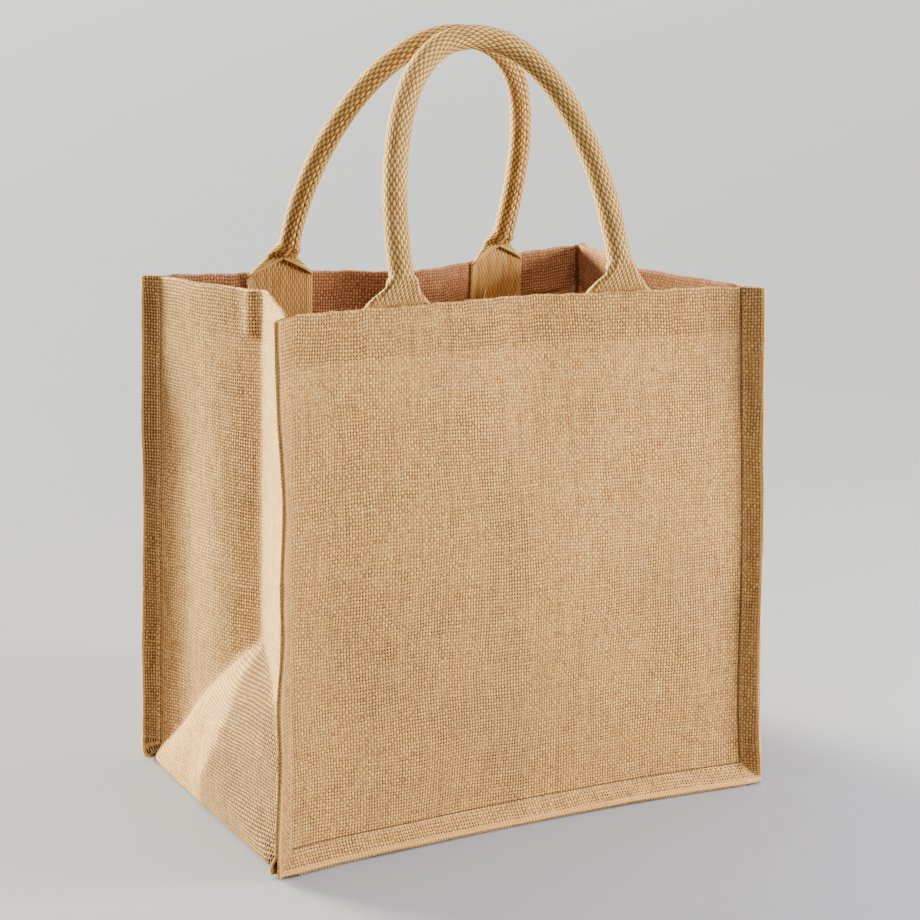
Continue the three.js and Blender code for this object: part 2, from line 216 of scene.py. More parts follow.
@dataclass(frozen=True)
class SwellForm:
    """How the cloth behind the left fold curves: a leaning wave low down, and a plain swelling at the rim."""

    low: float = 0.085
    lean: float = 0.4
    hollow: float = 0.6
    high: float = 0.7
    low_height: float = 190.0
    high_height: float = 270.0

    def at(self, across: Values, z: Values) -> Values:
        """Share of the fold's depth that the curve adds.

        Args:
            across: Share of the way from the seam to the crease.
            z: Height.

        Returns:
            The share, below 0 where the cloth swells out.
        """
        turn = 2 * math.pi * across * (1 + self.lean - self.lean * across)
        low = self.low * np.sin(turn) - self.hollow * across ** 2 * (1 - across)
        high = -self.high * across * (1 - across)
        return lerp(low, high, ease((z - self.low_height) / (self.high_height - self.low_height)))


@dataclass(frozen=True)
class BagShape:
    """The bag's body as the solids have it: its size, its seams and the curves of its cloth."""

    rim_height: float = 300.0
    rim_width: float = 284.6
    rim_depth: float = 186.9
    base_width: float = 299.4
    base_depth: float = 198.5
    cloth: float = 1.8
    hem_depth: float = 25.0
    hem_extra: float = 1.6
    hem_turn: float = 2.0
    gap: float = 0.3
    upright_allowance: float = 11.3
    base_allowance: float = 12.5
    clearance: float = 0.05
    bow: float = 3.2
    bow_level: float = 50.0
    bow_reach: float = 60.0
    fold_apex: float = 97.0
    fold_softness: float = 0.03
    diagonal_softness: float = 1.5
    bulge: float = 7.0
    bulge_runs: Pair = (6.0, 95.0)
    front_foot: float = 42.0
    back_foot: float = 8.0
    fall_reach: float = 30.0
    ground_radius: float = 4.0
    sag_run: float = 4.5
    rim_corners: tuple[float, float, float, float] = (1.6, -1.5, 0.5, 2.0)
    rim_ripples: tuple[tuple[float, float, float], ...] = ((0.25, 41, 3), (0.2, 5, 17), (0.15, 83, 0))
    back_sag: float = 4.0
    bend_softness: float = 1.3
    fin_turn: float = 2.4
    fin_turn_from: Pair = (85.0, 50.0)
    fin_turn_to: Pair = (270.0, 60.0)
    fin_tip: float = 0.4
    fin_tip_height: float = 70.0
    uneven_trims: Pair = (0.05, 0.015)
    trim_wave: Pair = (62.0, -3.2)
    short_trim: Pair = (0.012, 17.0)
    long_sway: Pair = (0.55, 27.0)
    short_sway: Pair = (0.3, 11.0)
    fin_lift_size: float = 0.7
    long_lift: Pair = (0.3, 21.0)
    short_lift: Pair = (0.2, 8.5)
    worn_edge: float = 0.4
    raised_seam: float = 0.12
    raised_run: float = 1.5
    hem_inset: float = 3.0
    hem_fade: float = 5.0

    @property
    def layer(self) -> float:
        """Middle of a layer's cloth to the middle of its seam."""
        return (self.cloth + self.gap) / 2

    @property
    def bend(self) -> float:
        """Corner of a layer to the corner of the seam."""
        return self.layer * ROOT_TWO

    @property
    def upright_fin(self) -> float:
        """Length of an upright seam allowance along the cloth."""
        return self.upright_allowance + self.layer

    @property
    def base_fin(self) -> float:
        """Length of a base seam allowance along the cloth."""
        return self.base_allowance + self.layer

    @property
    def seam_level(self) -> float:
        """Height of the base seams."""
        return (self.base_fin + self.cloth / 2) / ROOT_TWO + self.clearance

    @property
    def turned_hem(self) -> float:
        """Length of cloth that goes into the hem at the mouth."""
        return self.hem_depth + self.hem_turn

    @property
    def half_cloth_width(self) -> float:
        """Half the width of a panel's cloth between its seams."""
        return self.base_width / 2 - self.bend

    @property
    def half_strip_width(self) -> float:
        """Half the width of the gusset strip between its seams."""
        return self.base_depth / 2 - self.bend

    @property
    def panel_height(self) -> float:
        """Height of a panel's cloth from its base seam to the rim."""
        return self.rim_height - self.seam_level - self.bend

    def half_width(self, z: Values) -> Values:
        """Half the width of the body at a height."""
        return lerp(self.base_width, self.rim_width, z / self.rim_height) / 2

    def half_depth(self, z: Values) -> Values:
        """Half the depth of the body at a height."""
        return lerp(self.base_depth, self.rim_depth, z / self.rim_height) / 2

    def seam_x(self, z: Values, flank: Values, side: Values) -> Values:
        """Half the width of the body at one of the four upright seams."""
        bowed = np.where((np.asarray(flank) > 0) & (np.asarray(side) < 0), self.bow, 0.0)
        return self.half_width(z) - bowed * hump(z - self.bow_level, self.bow_reach)

    def rim_level(self, u: Values, v: Values) -> Values:
        """Height of the rim.

        Args:
            u: Share of the half width, from -1 at the left.
            v: Share of the half depth, from -1 in front.

        Returns:
            The height in millimetres.
        """
        front_left, front_right, back_left, back_right = self.rim_corners
        front = lerp(front_left, front_right, (u + 1) / 2)
        back = lerp(back_left, back_right, (u + 1) / 2)
        sag = self.back_sag * (v + 1) / 2 * (1 - u * u)
        ripple = sum(size * np.sin(by_u * u + by_v * v) for size, by_u, by_v in self.rim_ripples)
        return self.rim_height + lerp(front, back, (v + 1) / 2) - sag + ripple

    def panel_bow(self, form: PanelForm, x: Values, z: Values) -> Values:
        """How far a panel is bowed in from the straight line between its upright seams.

        Args:
            form: The panel's bow, dip and waves.
            x: Place in X.
            z: Height.

        Returns:
            The inward distance.
        """
        share = np.clip(z / self.rim_height, 0.0, 1.0)
        u = x / (self.half_width(z) - self.bend)
        edge = np.maximum(0.0, 1 - u * u)
        low, high = (1 - share) ** 3, share ** 3
        bow = form.middle + (form.base - form.middle) * low + (form.rim - form.middle) * high
        reach = np.where(x < form.dip_at, form.dip_left, form.dip_right)
        dip = form.dip * hump(x - form.dip_at, reach) * hump(self.rim_height - z, form.dip_fade)
        waves = sum(wave.at(x, z) for wave in form.waves)
        return (bow + waves) * edge + dip * np.minimum(1.0, 3 * edge)

    def panel_y(self, form: PanelForm, x: Values, z: Values) -> Values:
        """Place of a panel's cloth in Y."""
        return form.side * (self.half_depth(z) - self.panel_bow(form, x, z))

    def fin_reach(self, z: Values, flank: Values, side: Values) -> Values:
        """Share of the full allowance that an upright fin has, as it was trimmed.

        Args:
            z: Height.
            flank: Sign of the fin's X.
            side: Sign of the fin's Y.

        Returns:
            The share.
        """
        front = np.asarray(side) < 0
        trim = np.where((np.asarray(flank) > 0) & front, *self.uneven_trims)
        tip = np.where((np.asarray(flank) < 0) & front, self.fin_tip, 0.0)
        tip = tip * np.clip(1 - z / self.fin_tip_height, 0.0, 1.0)
        (run, start), (size, short_run) = self.trim_wave, self.short_trim
        return 1 + tip + trim * np.sin(z / run + start) + size * np.sin(z / short_run + 2 * side)

    def fin_wave(self, z: Values, flank: Values, side: Values, past: Values) -> Values:
        """Sideways sway of an upright fin, which both of its layers share.

        Args:
            z: Height.
            flank: Sign of the fin's X.
            side: Sign of the fin's Y.
            past: Distance out from the seam.

        Returns:
            The sway, towards the narrow side.
        """
        (size, run), (short_size, short_run) = self.long_sway, self.short_sway
        sway = (size * np.sin(z / run + 2.1 * flank + side)
                + short_size * np.sin(z / short_run - flank * side))
        (start, rise), (end, fall) = self.fin_turn_from, self.fin_turn_to
        turned = self.fin_turn * (ease((z - start) / rise) * ease((end - z) / fall))
        sway = sway - np.where((np.asarray(flank) < 0) & (np.asarray(side) < 0), turned, 0.0)
        return sway * np.clip(past / self.upright_fin, 0.0, 1.1) ** 1.5

    def fin_lift(self, x: Values, side: Values, past: Values) -> Values:
        """Lift of a base fin off the ground, which both of its layers share.

        Args:
            x: Place in X.
            side: Sign of the fin's Y.
            past: Distance out from the seam.

        Returns:
            The lift.
        """
        (size, run), (short_size, short_run) = self.long_lift, self.short_lift
        lift = 0.5 + size * np.sin(x / run + side) + short_size * np.sin(x / short_run)
        return self.fin_lift_size * lift * np.clip(past / self.base_fin, 0.0, 1.1) ** 2

    def finish_cloth(self, cloth: "ClothMesh", past: np.ndarray, below: np.ndarray) -> None:
        """Give a hessian cloth its thickness, its doubled hem, and the marks and zones that all three share.

        Args:
            cloth: The cloth.
            past: Distance out from the nearest seam, below 0 inside it.
            below: Distance down from the rim.
        """
        hem = (below <= self.hem_depth) * ease((-past - self.hem_inset) / self.hem_fade)
        outer = self.cloth / 2 * (1 - self.worn_edge * ease(past / self.upright_fin))
        inner = self.cloth / 2 + self.hem_extra * hem + self.raised_seam * ease(past / self.raised_run)
        cloth.thicken(outer, inner)
        cloth.mark("past_seam", past)
        cloth.mark("below_rim", below)
        inside = np.where(below <= self.hem_depth + 0.1, Zone.HEM_INSIDE, Zone.LAMINATE)
        cloth.inside_zone(np.where(past > -0.5, Zone.OUTSIDE, inside))


@dataclass(frozen=True)
class PanelCloth:
    """One wide side: its cloth between two upright seams, a base seam and the rim."""

    shape: BagShape
    form: PanelForm
    faint_groove: float = 0.15

    @property
    def flat(self) -> Pair:
        """Width and length of the cut cloth in metres, with its allowances and its turned hem."""
        width = 2 * (self.shape.half_cloth_width + self.shape.upright_fin)
        return width * MM, (self.shape.base_fin + self.shape.panel_height + self.shape.turned_hem) * MM

    def surface(self, q: Values, t: Values) -> np.ndarray:
        """Middle of the cloth.

        Args:
            q: Place across the cloth from its middle, to the right as seen from outside.
            t: Place up the cloth from its base seam; the allowances lie past the seams.

        Returns:
            Points in millimetres.
        """
        shape, side = self.shape, int(self.form.side)
        q, t = np.broadcast_arrays(np.asarray(q, float), np.asarray(t, float))
        half = shape.half_cloth_width
        flank = np.where(q < 0, -1.0, 1.0) * -side
        out = past_bend(np.abs(q) - half, shape.bend_softness)
        down = past_bend(-t, shape.bend_softness)
        u = flank * (np.abs(q) - out) / half
        foot = shape.seam_level + shape.bend
        rim = shape.rim_level(u, float(side))
        z = lerp(foot, rim, (t + down) / shape.panel_height)
        x = u * (shape.seam_x(z, flank, side) - shape.bend)
        y = shape.panel_y(self.form, x, z)
        run = out * shape.fin_reach(z, flank, side) / ROOT_TWO
        fall = down / ROOT_TWO
        wave = shape.fin_wave(z, flank, side, out) / ROOT_TWO
        lift = shape.fin_lift(x, side, down)
        return np.stack([
            x + flank * (run + wave),
            y + side * (np.maximum(run, fall) - wave + 0.5 * lift),
            z - fall + lift,
        ], axis=-1)

    def grid(self) -> tuple[np.ndarray, np.ndarray]:
        """Places of the mesh's lines.

        Returns:
            The places across the cloth and the places up it.
        """
        shape = self.shape
        half, fin = shape.half_cloth_width, shape.upright_fin
        right = steps((0.0, 0), (half - 4, 58), (half + 4, 11), (half + fin, 5))
        hem = shape.panel_height - shape.hem_depth
        up = steps((-shape.base_fin, 0), (-4, 5), (4, 11), (hem - 0.3, 96), (hem, 1), (hem + 0.25, 1),
                   (shape.panel_height - 1, 10), (shape.panel_height, 1))
        return mirrored(right), up

    def build(self, name: str) -> "ClothMesh":
        """Cloth of the panel, with its hem doubled to the inside.

        Args:
            name: Name of the piece.

        Returns:
            The cloth with its marks and zones.
        """
        shape = self.shape
        across, up = self.grid()
        q, t = np.meshgrid(across, up)
        past = np.maximum(np.abs(q) - shape.half_cloth_width, -t)
        cloth = ClothMesh(name, self.surface(q, t), np.stack([q, t], axis=-1))
        shape.finish_cloth(cloth, past, shape.panel_height - t)
        cloth.mark("open_weave", np.zeros_like(past))
        # The groove mark weights the painted shade in the seam groove, faint on the front panel's left side.
        faint = (self.form.side < 0) * (q < -0.75 * shape.half_cloth_width) * (t > -past)
        cloth.mark("groove", np.where(faint, self.faint_groove, 1.0) / MM)
        cloth.mark("along_seam", np.where(np.abs(q) - shape.half_cloth_width > -t, t, q))
        return cloth


@dataclass(frozen=True)
class GussetCloth:
    """The strip that is the left side, the base and the right side, in that order."""

    shape: BagShape
    folds: tuple[FoldForm, FoldForm]
    panels: tuple[PanelForm, PanelForm]
    swell: SwellForm = SwellForm()
    front_line: Pair = (0.36, 0.64)
    fall_at_seam: float = 0.25
    crest: float = 4.0
    crest_runs: Pair = (0.9, 0.17)
    crest_fade: float = 25.0
    crest_foot: float = 0.3
    crest_top: float = 0.14
    crest_height: float = 55.0
    hem_pinch: float = 2.0
    pinch_at: float = 0.93
    pinch_reach: float = 0.05
    slow_from: float = 35.0
    corner_rise: float = 3.8
    corner_inset: float = 4.0
    bunch_out: float = 6.0
    bunch_fall: float = 2.2
    bunch_in: float = 12.0
    # Weight of the painted shade in the seam groove.
    groove: float = 0.5
    gape_turn: float = 0.13
    gape_heights: Pair = (60.0, 92.0)
    gape_edges: Pair = (4.0, 0.1)
    unstitched: Pair = (4.0, 9.0)

    @property
    def base_half(self) -> float:
        """Half the length of the strip's base."""
        return self.shape.base_width / 2

    @property
    def toe(self) -> float:
        """Place along the strip where a side begins, past the fold at the ground."""
        return self.base_half + self.shape.ground_radius * math.pi / 2

    @property
    def rim(self) -> float:
        """Place along the strip of the rim."""
        return self.toe + self.shape.panel_height

    @property
    def flat(self) -> Pair:
        """Width and length of the cut cloth in metres, with its allowances and a turned hem at each end."""
        width = 2 * (self.shape.half_strip_width + self.shape.upright_fin)
        return width * MM, 2 * (self.rim + self.shape.turned_hem) * MM

    def fold_depth(self, fold: FoldForm, w: Values, z: Values) -> Values:
        """Inward depth of a side from the plane between its seams, with the bulging triangle below.

        Args:
            fold: The side's fold.
            w: Place across the strip, from -1 at the front seam to 1 at the back.
            z: Height.

        Returns:
            The depth.
        """
        shape = self.shape
        across = self.across(w)
        line = self.fold_line(w, across)
        below = (line - z) / shape.diagonal_softness
        below = shape.diagonal_softness * np.logaddexp(0.0, below)
        behind = w > 0
        upper = across + fold.swell * behind * self.swell.at(across, z)
        in_hem = ease((z - shape.rim_height + shape.hem_depth) / 1.5)
        pinch = self.hem_pinch * hump(across - self.pinch_at, self.pinch_reach) * in_hem * behind
        puff = np.where(behind, fold.puff_back, 0.0) * np.sin(math.pi * across)
        puff = puff * np.minimum(1.0, z / shape.fold_apex)
        upper = fold.depth * upper - puff - pinch
        out = shape.bulge * self.spread(w, z)
        reach = shape.fall_reach * lerp(self.fall_at_seam, 1.0, across)
        fallen = (1 - np.exp(-below / reach)) / (1 - np.exp(-(line + 0.5) / reach))
        past = w - self.ridge(z)
        front_run, back_run = self.crest_runs
        ridge = np.where(past < 0, np.maximum(0.0, 1 + past / front_run), hump(past, back_run))
        ridge = ridge * ease(z / self.crest_fade) * ease((shape.fold_apex - z) / self.crest_fade)
        return lerp(upper, -out, np.minimum(fallen, 1.0)) - self.crest * ridge

    def across(self, w: Values) -> Values:
        """Share of the way from a seam to the crease, with the crease rounded."""
        soft = self.shape.fold_softness
        return np.maximum(0.0, 1 - (np.hypot(w, soft) - soft) / (math.hypot(1, soft) - soft))

    def fold_line(self, w: Values, across: Values) -> Values:
        """Height of the two slanting folds above the triangle, straight behind and bowed in front.

        Args:
            w: Place across the strip.
            across: Share of the way from a seam to the crease.

        Returns:
            The height.
        """
        shape = self.shape
        off = 1 - across
        straight, bowed = self.front_line
        front = lerp(shape.fold_apex, shape.front_foot, straight * off + bowed * off ** 4)
        return np.where(w < 0, front, lerp(shape.back_foot, shape.fold_apex, across))

    def ridge(self, z: Values) -> Values:
        """Place of the triangle's soft ridge at a height."""
        return self.crest_foot * np.maximum(0.0, 1 - z / self.crest_height) ** 1.1 - self.crest_top

    def from_seam(self, w: Values) -> Values:
        """Distance of a place from the nearest seam, along the ground."""
        return (1 - np.abs(w)) * (self.shape.half_depth(0) - self.shape.bend)

    def spread(self, w: Values, z: Values) -> Values:
        """Share of the bulge: sudden on the ground line, and slow in front of the ridge above it.

        Args:
            w: Place across the strip.
            z: Height.

        Returns:
            The share.
        """
        slow = ease(z / self.slow_from) * (w < 0)
        run = lerp(*self.shape.bulge_runs, slow)
        return 1 - np.maximum(0.0, 1 - self.from_seam(w) / run) ** (2.0 - slow)

    def nearness(self, w: Values) -> Values:
        """How near a place is to a seam on the ground line.

        Args:
            w: Place across the strip.

        Returns:
            From 0 where the cloth lies flat to 1 at the seam.
        """
        return np.maximum(0.0, 1 - self.from_seam(w) / self.shape.sag_run) ** 2

    def base_level(self, w: Values) -> Values:
        """Height of the base cloth's middle."""
        return lerp(self.shape.cloth / 2, self.shape.seam_level, self.nearness(w))

    def side_point(self, fold: FoldForm, w: np.ndarray, share: Values) -> np.ndarray:
        """Point of an upright side.

        Args:
            fold: The side's fold.
            w: Place across the strip.
            share: Share of the way from the side's toe to the rim.

        Returns:
            Points in millimetres.
        """
        shape, flank = self.shape, int(fold.flank)
        near = self.nearness(w)
        toe = lerp(self.base_level(w) + shape.ground_radius, shape.seam_level + self.corner_rise, near)
        z = lerp(toe, shape.rim_level(float(flank), w), share)
        y = w * (shape.half_depth(z) - shape.bend) + fold.y * (1 - np.abs(w))
        front = shape.seam_x(z, flank, -1)
        back = shape.seam_x(z, flank, 1)
        x = flank * (lerp(front, back, (w + 1) / 2) - self.fold_depth(fold, w, z))
        return np.stack(np.broadcast_arrays(x, y, z), axis=-1)

    def base_point(self, w: np.ndarray, share: np.ndarray) -> np.ndarray:
        """Point of the base.

        Args:
            w: Place across the strip.
            share: Share of its half length, from -1 at the left.

        Returns:
            Points in millimetres.
        """
        shape = self.shape
        flank = np.where(share < 0, -1.0, 1.0)
        near = self.nearness(w)
        seam = shape.seam_x(shape.seam_level, flank, w)
        inset = seam - self.corner_inset
        reach = lerp(seam + shape.bulge * self.spread(w, 0.0) - shape.ground_radius, inset, near)
        bows = [shape.panel_bow(form, share * inset, shape.seam_level) for form in self.panels]
        bow = np.where(w < 0, bows[0], bows[1])
        middle = lerp(self.folds[0].y, self.folds[1].y, (share + 1) / 2) * (1 - np.abs(w))
        y = w * (shape.half_depth(shape.seam_level) - shape.bend - bow) + middle
        return np.stack(np.broadcast_arrays(share * reach, y, self.base_level(w)), axis=-1)

    def corner_point(self, fold: FoldForm, w: np.ndarray, turn: np.ndarray) -> np.ndarray:
        """Point of the fold between a side and the base.

        Args:
            fold: The side's fold.
            w: Place across the strip.
            turn: Share of the turn, from the side to the base.

        Returns:
            Points in millimetres.
        """
        start = self.side_point(fold, w, 0.0)
        end = self.base_point(w, np.full_like(w, float(fold.flank)))
        corner = np.stack([start[..., 0], (start[..., 1] + end[..., 1]) / 2, end[..., 2]], axis=-1)
        turn = turn[..., None]
        angle = turn * math.pi / 2
        arc = np.concatenate([
            lerp(end[..., :1], start[..., :1], np.cos(angle)),
            lerp(start[..., 1:2], end[..., 1:2], turn),
            lerp(start[..., 2:], end[..., 2:], np.sin(angle)),
        ], axis=-1)
        sharp = np.where(turn <= 0.5, lerp(start, corner, turn * 2), lerp(corner, end, turn * 2 - 1))
        return lerp(sharp, arc, 1 - self.nearness(w)[..., None])

    def surface(self, q: Values, v: Values) -> np.ndarray:
        """Middle of the cloth.

        Args:
            q: Place across the strip, from its front seam to its back seam.
            v: Place along the strip from the middle of the base, to the left rim below 0.

        Returns:
            Points in millimetres.
        """
        shape = self.shape
        q, v = np.broadcast_arrays(np.asarray(q, float), np.asarray(v, float))
        half = shape.half_strip_width
        out = past_bend(np.abs(q) - half, shape.bend_softness)
        w = np.sign(q) * (np.abs(q) - out) / half
        points = self.base_point(w, np.clip(v / self.base_half, -1.0, 1.0))
        turn = np.clip((self.toe - np.abs(v)) / (self.toe - self.base_half), 0.0, 1.0)
        rise = np.clip((np.abs(v) - self.toe) / shape.panel_height, 0.0, 1.0)
        for fold in self.folds:
            here = v * int(fold.flank) > 0
            corner = here & (turn < 1)
            points = np.where(corner[..., None], self.corner_point(fold, w, turn), points)
            side = here & (turn <= 0)
            points = np.where(side[..., None], self.side_point(fold, w, rise), points)
        return points + self.fin(q, v, out, turn, points)

    def fin(self, q: np.ndarray, v: np.ndarray, out: np.ndarray, turn: np.ndarray,
            points: np.ndarray) -> np.ndarray:
        """Way out from the seam along the seam allowance, which turns down round the base.

        Args:
            q: Place across the strip.
            v: Place along the strip.
            out: Distance out from the seam.
            turn: Share of the turn, from the side to the base.
            points: The seam's points.

        Returns:
            Steps from the seam's points.
        """
        shape = self.shape
        flank = np.where(v < 0, -1.0, 1.0)
        side = np.where(q < 0, -1.0, 1.0)
        upright = np.cos(turn * math.pi / 2)
        base = np.sin(turn * math.pi / 2)
        share = out / shape.upright_fin
        bunch = share * upright * base
        reach = shape.fin_reach(points[..., 2], flank, side)
        run = out * upright * reach / ROOT_TWO + self.bunch_out * bunch
        fall = share * base * shape.base_fin / ROOT_TWO + self.bunch_fall * bunch
        wave = shape.fin_wave(points[..., 2], flank, side, out) * upright / ROOT_TWO
        lift = shape.fin_lift(points[..., 0], side, share * base * shape.base_fin)
        return np.stack([
            flank * (run + wave),
            side * (np.maximum(run, fall) - wave + 0.5 * lift - self.bunch_in * bunch),
            lift - fall,
        ], axis=-1)

    def grid(self) -> tuple[np.ndarray, np.ndarray]:
        """Places of the mesh's lines.

        Returns:
            The places across the strip and the places along it.
        """
        shape = self.shape
        half = shape.half_strip_width
        back = steps((0.0, 0), (4, 4), (half - 4, 36), (half + 4, 11), (half + shape.upright_fin, 5))
        hem = self.rim - shape.hem_depth
        right = steps((0.0, 0), (self.base_half - 6, 26), (self.base_half, 3), (self.toe, 8),
                      (self.toe + 100, 46), (hem - 0.3, 52), (hem, 1), (hem + 0.25, 1),
                      (self.rim - 1, 10), (self.rim, 1))
        return mirrored(back), mirrored(right)

    def build(self, name: str) -> "ClothMesh":
        """Cloth of the strip, with a hem doubled to the inside at each end.

        Args:
            name: Name of the piece.

        Returns:
            The cloth with its marks and zones.
        """
        shape = self.shape
        across, along = self.grid()
        q, v = np.meshgrid(across, along)
        cloth = ClothMesh(name, self.surface(q, v), np.stack([q, v], axis=-1))
        past = np.abs(q) - shape.half_strip_width
        shape.finish_cloth(cloth, past, self.rim - np.abs(v))
        cloth.mark("open_weave", self.open_weave(q, v) / MM)
        cloth.mark("groove", np.full_like(past, self.groove) / MM)
        before, after = self.unstitched
        corner = (np.abs(v) > self.base_half - before) & (np.abs(v) < self.toe + after)
        cloth.mark("along_seam", np.where(corner, 0.0, v))
        return cloth

    def open_weave(self, q: np.ndarray, v: np.ndarray) -> np.ndarray:
        """Share to which the weave gapes where the triangle pulls at it in front of its ridge, which is also
        where painted shade darkens the triangle's body.

        Args:
            q: Place across the strip.
            v: Place along the strip.

        Returns:
            The share.
        """
        w = np.clip(q / self.shape.half_strip_width, -1.0, 1.0)
        height = np.abs(v) - self.toe
        line = self.fold_line(w, self.across(w))
        low, high = self.gape_heights
        edge = self.ridge(height) + self.gape_turn * ease((height - low) / (high - low))
        upper, back = self.gape_edges
        return ease((line - height) / upper) * ease((edge - w) / back) * (np.abs(v) > self.base_half)


class ClothMesh:
    """A closed sheet made from a grid of middle points, with rounded edges and a UV map in metres."""

    EDGE_TURNS = (math.radians(35), math.radians(65), math.radians(90))
    POINT, NORMAL, HALF, SHARE, CUT = range(5)

    def __init__(self, name: str, middle: np.ndarray, cut: np.ndarray) -> None:
        """Start a sheet of even thickness.

        Args:
            name: Name of the piece.
            middle: Grid of middle points in millimetres.
            cut: Their places on the flat cloth.
        """
        self.name = name
        self.middle = middle
        self.cut = cut
        self.marks: dict[str, np.ndarray] = {}
        self.zones = np.full(middle.shape[:2], int(Zone.LAMINATE))
        self.thicken(0.9, 0.9)

    def thicken(self, outer: Values, inner: Values) -> None:
        """Set how far the two faces stand off the middle.

        Args:
            outer: Distance of the outer face.
            inner: Distance of the inner face.
        """
        shape = self.middle.shape[:2]
        self.outer = np.broadcast_to(np.asarray(outer, float), shape).copy()
        self.inner = np.broadcast_to(np.asarray(inner, float), shape).copy()

    def mark(self, name: str, values: np.ndarray) -> None:
        """Keep a distance in millimetres for the finish, as an attribute in metres."""
        self.marks[name] = np.asarray(values, float)

    def inside_zone(self, zones: np.ndarray) -> None:
        """Say which finish each place of the inner face has."""
        self.zones = np.asarray(zones, int)

    @staticmethod
    def normals(grid: np.ndarray) -> np.ndarray:
        """Normals of a grid of points, from its lines both ways.

        Args:
            grid: Rows of points.

        Returns:
            A normal for each point.
        """
        def along(axis: int) -> np.ndarray:
            """Directions of the grid's lines one way.

            Args:
                axis: The way, as the grid's axis.

            Returns:
                A direction for each point, halfway between the steps before and after it.
            """
            step = unit(np.diff(grid, axis=axis))
            ahead = np.concatenate([step, np.take(step, [-1], axis=axis)], axis=axis)
            behind = np.concatenate([np.take(step, [0], axis=axis), step], axis=axis)
            return unit(ahead + behind)
        return unit(np.cross(along(1), along(0)))

    def faces_grid(self) -> tuple[np.ndarray, ...]:
        """Pad the grid with the turns of its rounded edges.

        Returns:
            The outer points, the inner points, the places on the cloth, the marks and the zones.
        """
        normal = self.normals(self.middle)
        centre = (self.outer - self.inner) / 2
        half = (self.outer + self.inner) / 2
        core = self.middle + normal * centre[..., None]
        layers = [core, normal, half[..., None], np.ones_like(half)[..., None], self.cut]
        names = sorted(self.marks)
        layers += [self.marks[name][..., None] for name in names] + [self.zones[..., None]]
        for axis in (0, 1):
            layers = self.pad(layers, axis)
        core, normal, half, share, cut, *kept = layers
        marks = dict(zip(names, kept[:-1]))
        stand = normal * half * share
        return core + stand, core - stand, cut, marks, kept[-1][..., 0]

    def pad(self, layers: list[np.ndarray], axis: int) -> list[np.ndarray]:
        """Add the rounded turns at both ends of one axis.

        Args:
            layers: The grids of points, normals, half thicknesses, shares, places and marks.
            axis: The axis that the turns are added to.

        Returns:
            The longer grids.
        """
        ends = []
        for index, inner_index in ((0, 1), (-1, -2)):
            edge = [np.take(layer, [index], axis=axis) for layer in layers]
            away = {part: unit(edge[part] - np.take(layers[part], [inner_index], axis=axis))
                    for part in (self.POINT, self.CUT)}
            turns = []
            for angle in self.EDGE_TURNS:
                turned = list(edge)
                for part, way in away.items():
                    turned[part] = edge[part] + way * edge[self.HALF] * math.sin(angle)
                turned[self.SHARE] = edge[self.SHARE] * max(0.0, math.cos(angle))
                turns.append(turned)
            ends.append(turns)
        rows = ends[0][::-1] + [layers] + ends[1]
        return [np.concatenate([row[i] for row in rows], axis=axis) for i in range(len(layers))]

    def build(self) -> bpy.types.Object:
        """Make the closed mesh with its UV map, attributes and zones.

        Returns:
            The piece.
        """
        outer, inner, cut, marks, zones = self.faces_grid()
        rows, columns = outer.shape[:2]
        count = rows * columns
        own = np.arange(count).reshape(rows, columns)
        far = own + count
        far[0], far[-1], far[:, 0], far[:, -1] = own[0], own[-1], own[:, 0], own[:, -1]
        used = np.unique(np.concatenate([own.ravel(), far.ravel()]))
        slot = np.zeros(2 * count, int)
        slot[used] = np.arange(len(used))
        points = np.concatenate([outer.reshape(-1, 3), inner.reshape(-1, 3)])[used]

        def quads(index: np.ndarray, flip: bool) -> np.ndarray:
            """Faces between the points of a grid.

            Args:
                index: Number of each point.
                flip: True to turn the faces round.

            Returns:
                Four numbers for each face.
            """
            corners = [index[:-1, :-1], index[:-1, 1:], index[1:, 1:], index[1:, :-1]]
            return np.stack(corners[::-1] if flip else corners, axis=-1).reshape(-1, 4)

        faces = slot[np.concatenate([quads(own, False), quads(far, True)])]
        mesh = smooth_mesh(self.name, points, faces.tolist())
        inside = zones[:-1, :-1].ravel()
        mesh.polygons.foreach_set("material_index", np.concatenate([np.zeros_like(inside), inside]))
        places = np.concatenate([cut.reshape(-1, 2)] * 2)[used] * MM
        layer = mesh.uv_layers.new(name="cloth")
        layer.data.foreach_set("uv", places[faces.ravel()].ravel())
        for name, values in marks.items():
            attribute = mesh.attributes.new(name, "FLOAT", "POINT")
            attribute.data.foreach_set("value", np.concatenate([values.ravel()] * 2)[used] * MM)
        mesh.update()
        return put_in_scene(self.name, mesh)


@dataclass(frozen=True)
class HandleForm:
    """One handle's route: the places of its tabs and feet, the lean of its legs and its arch."""

    side: Side
    radius: float
    tabs: Pair
    feet: tuple[Pair, Pair]
    leg_lean: float
    leg_rises: Pair
    apex: Place
    apex_turn: float
    shoulder: float
    parting: float


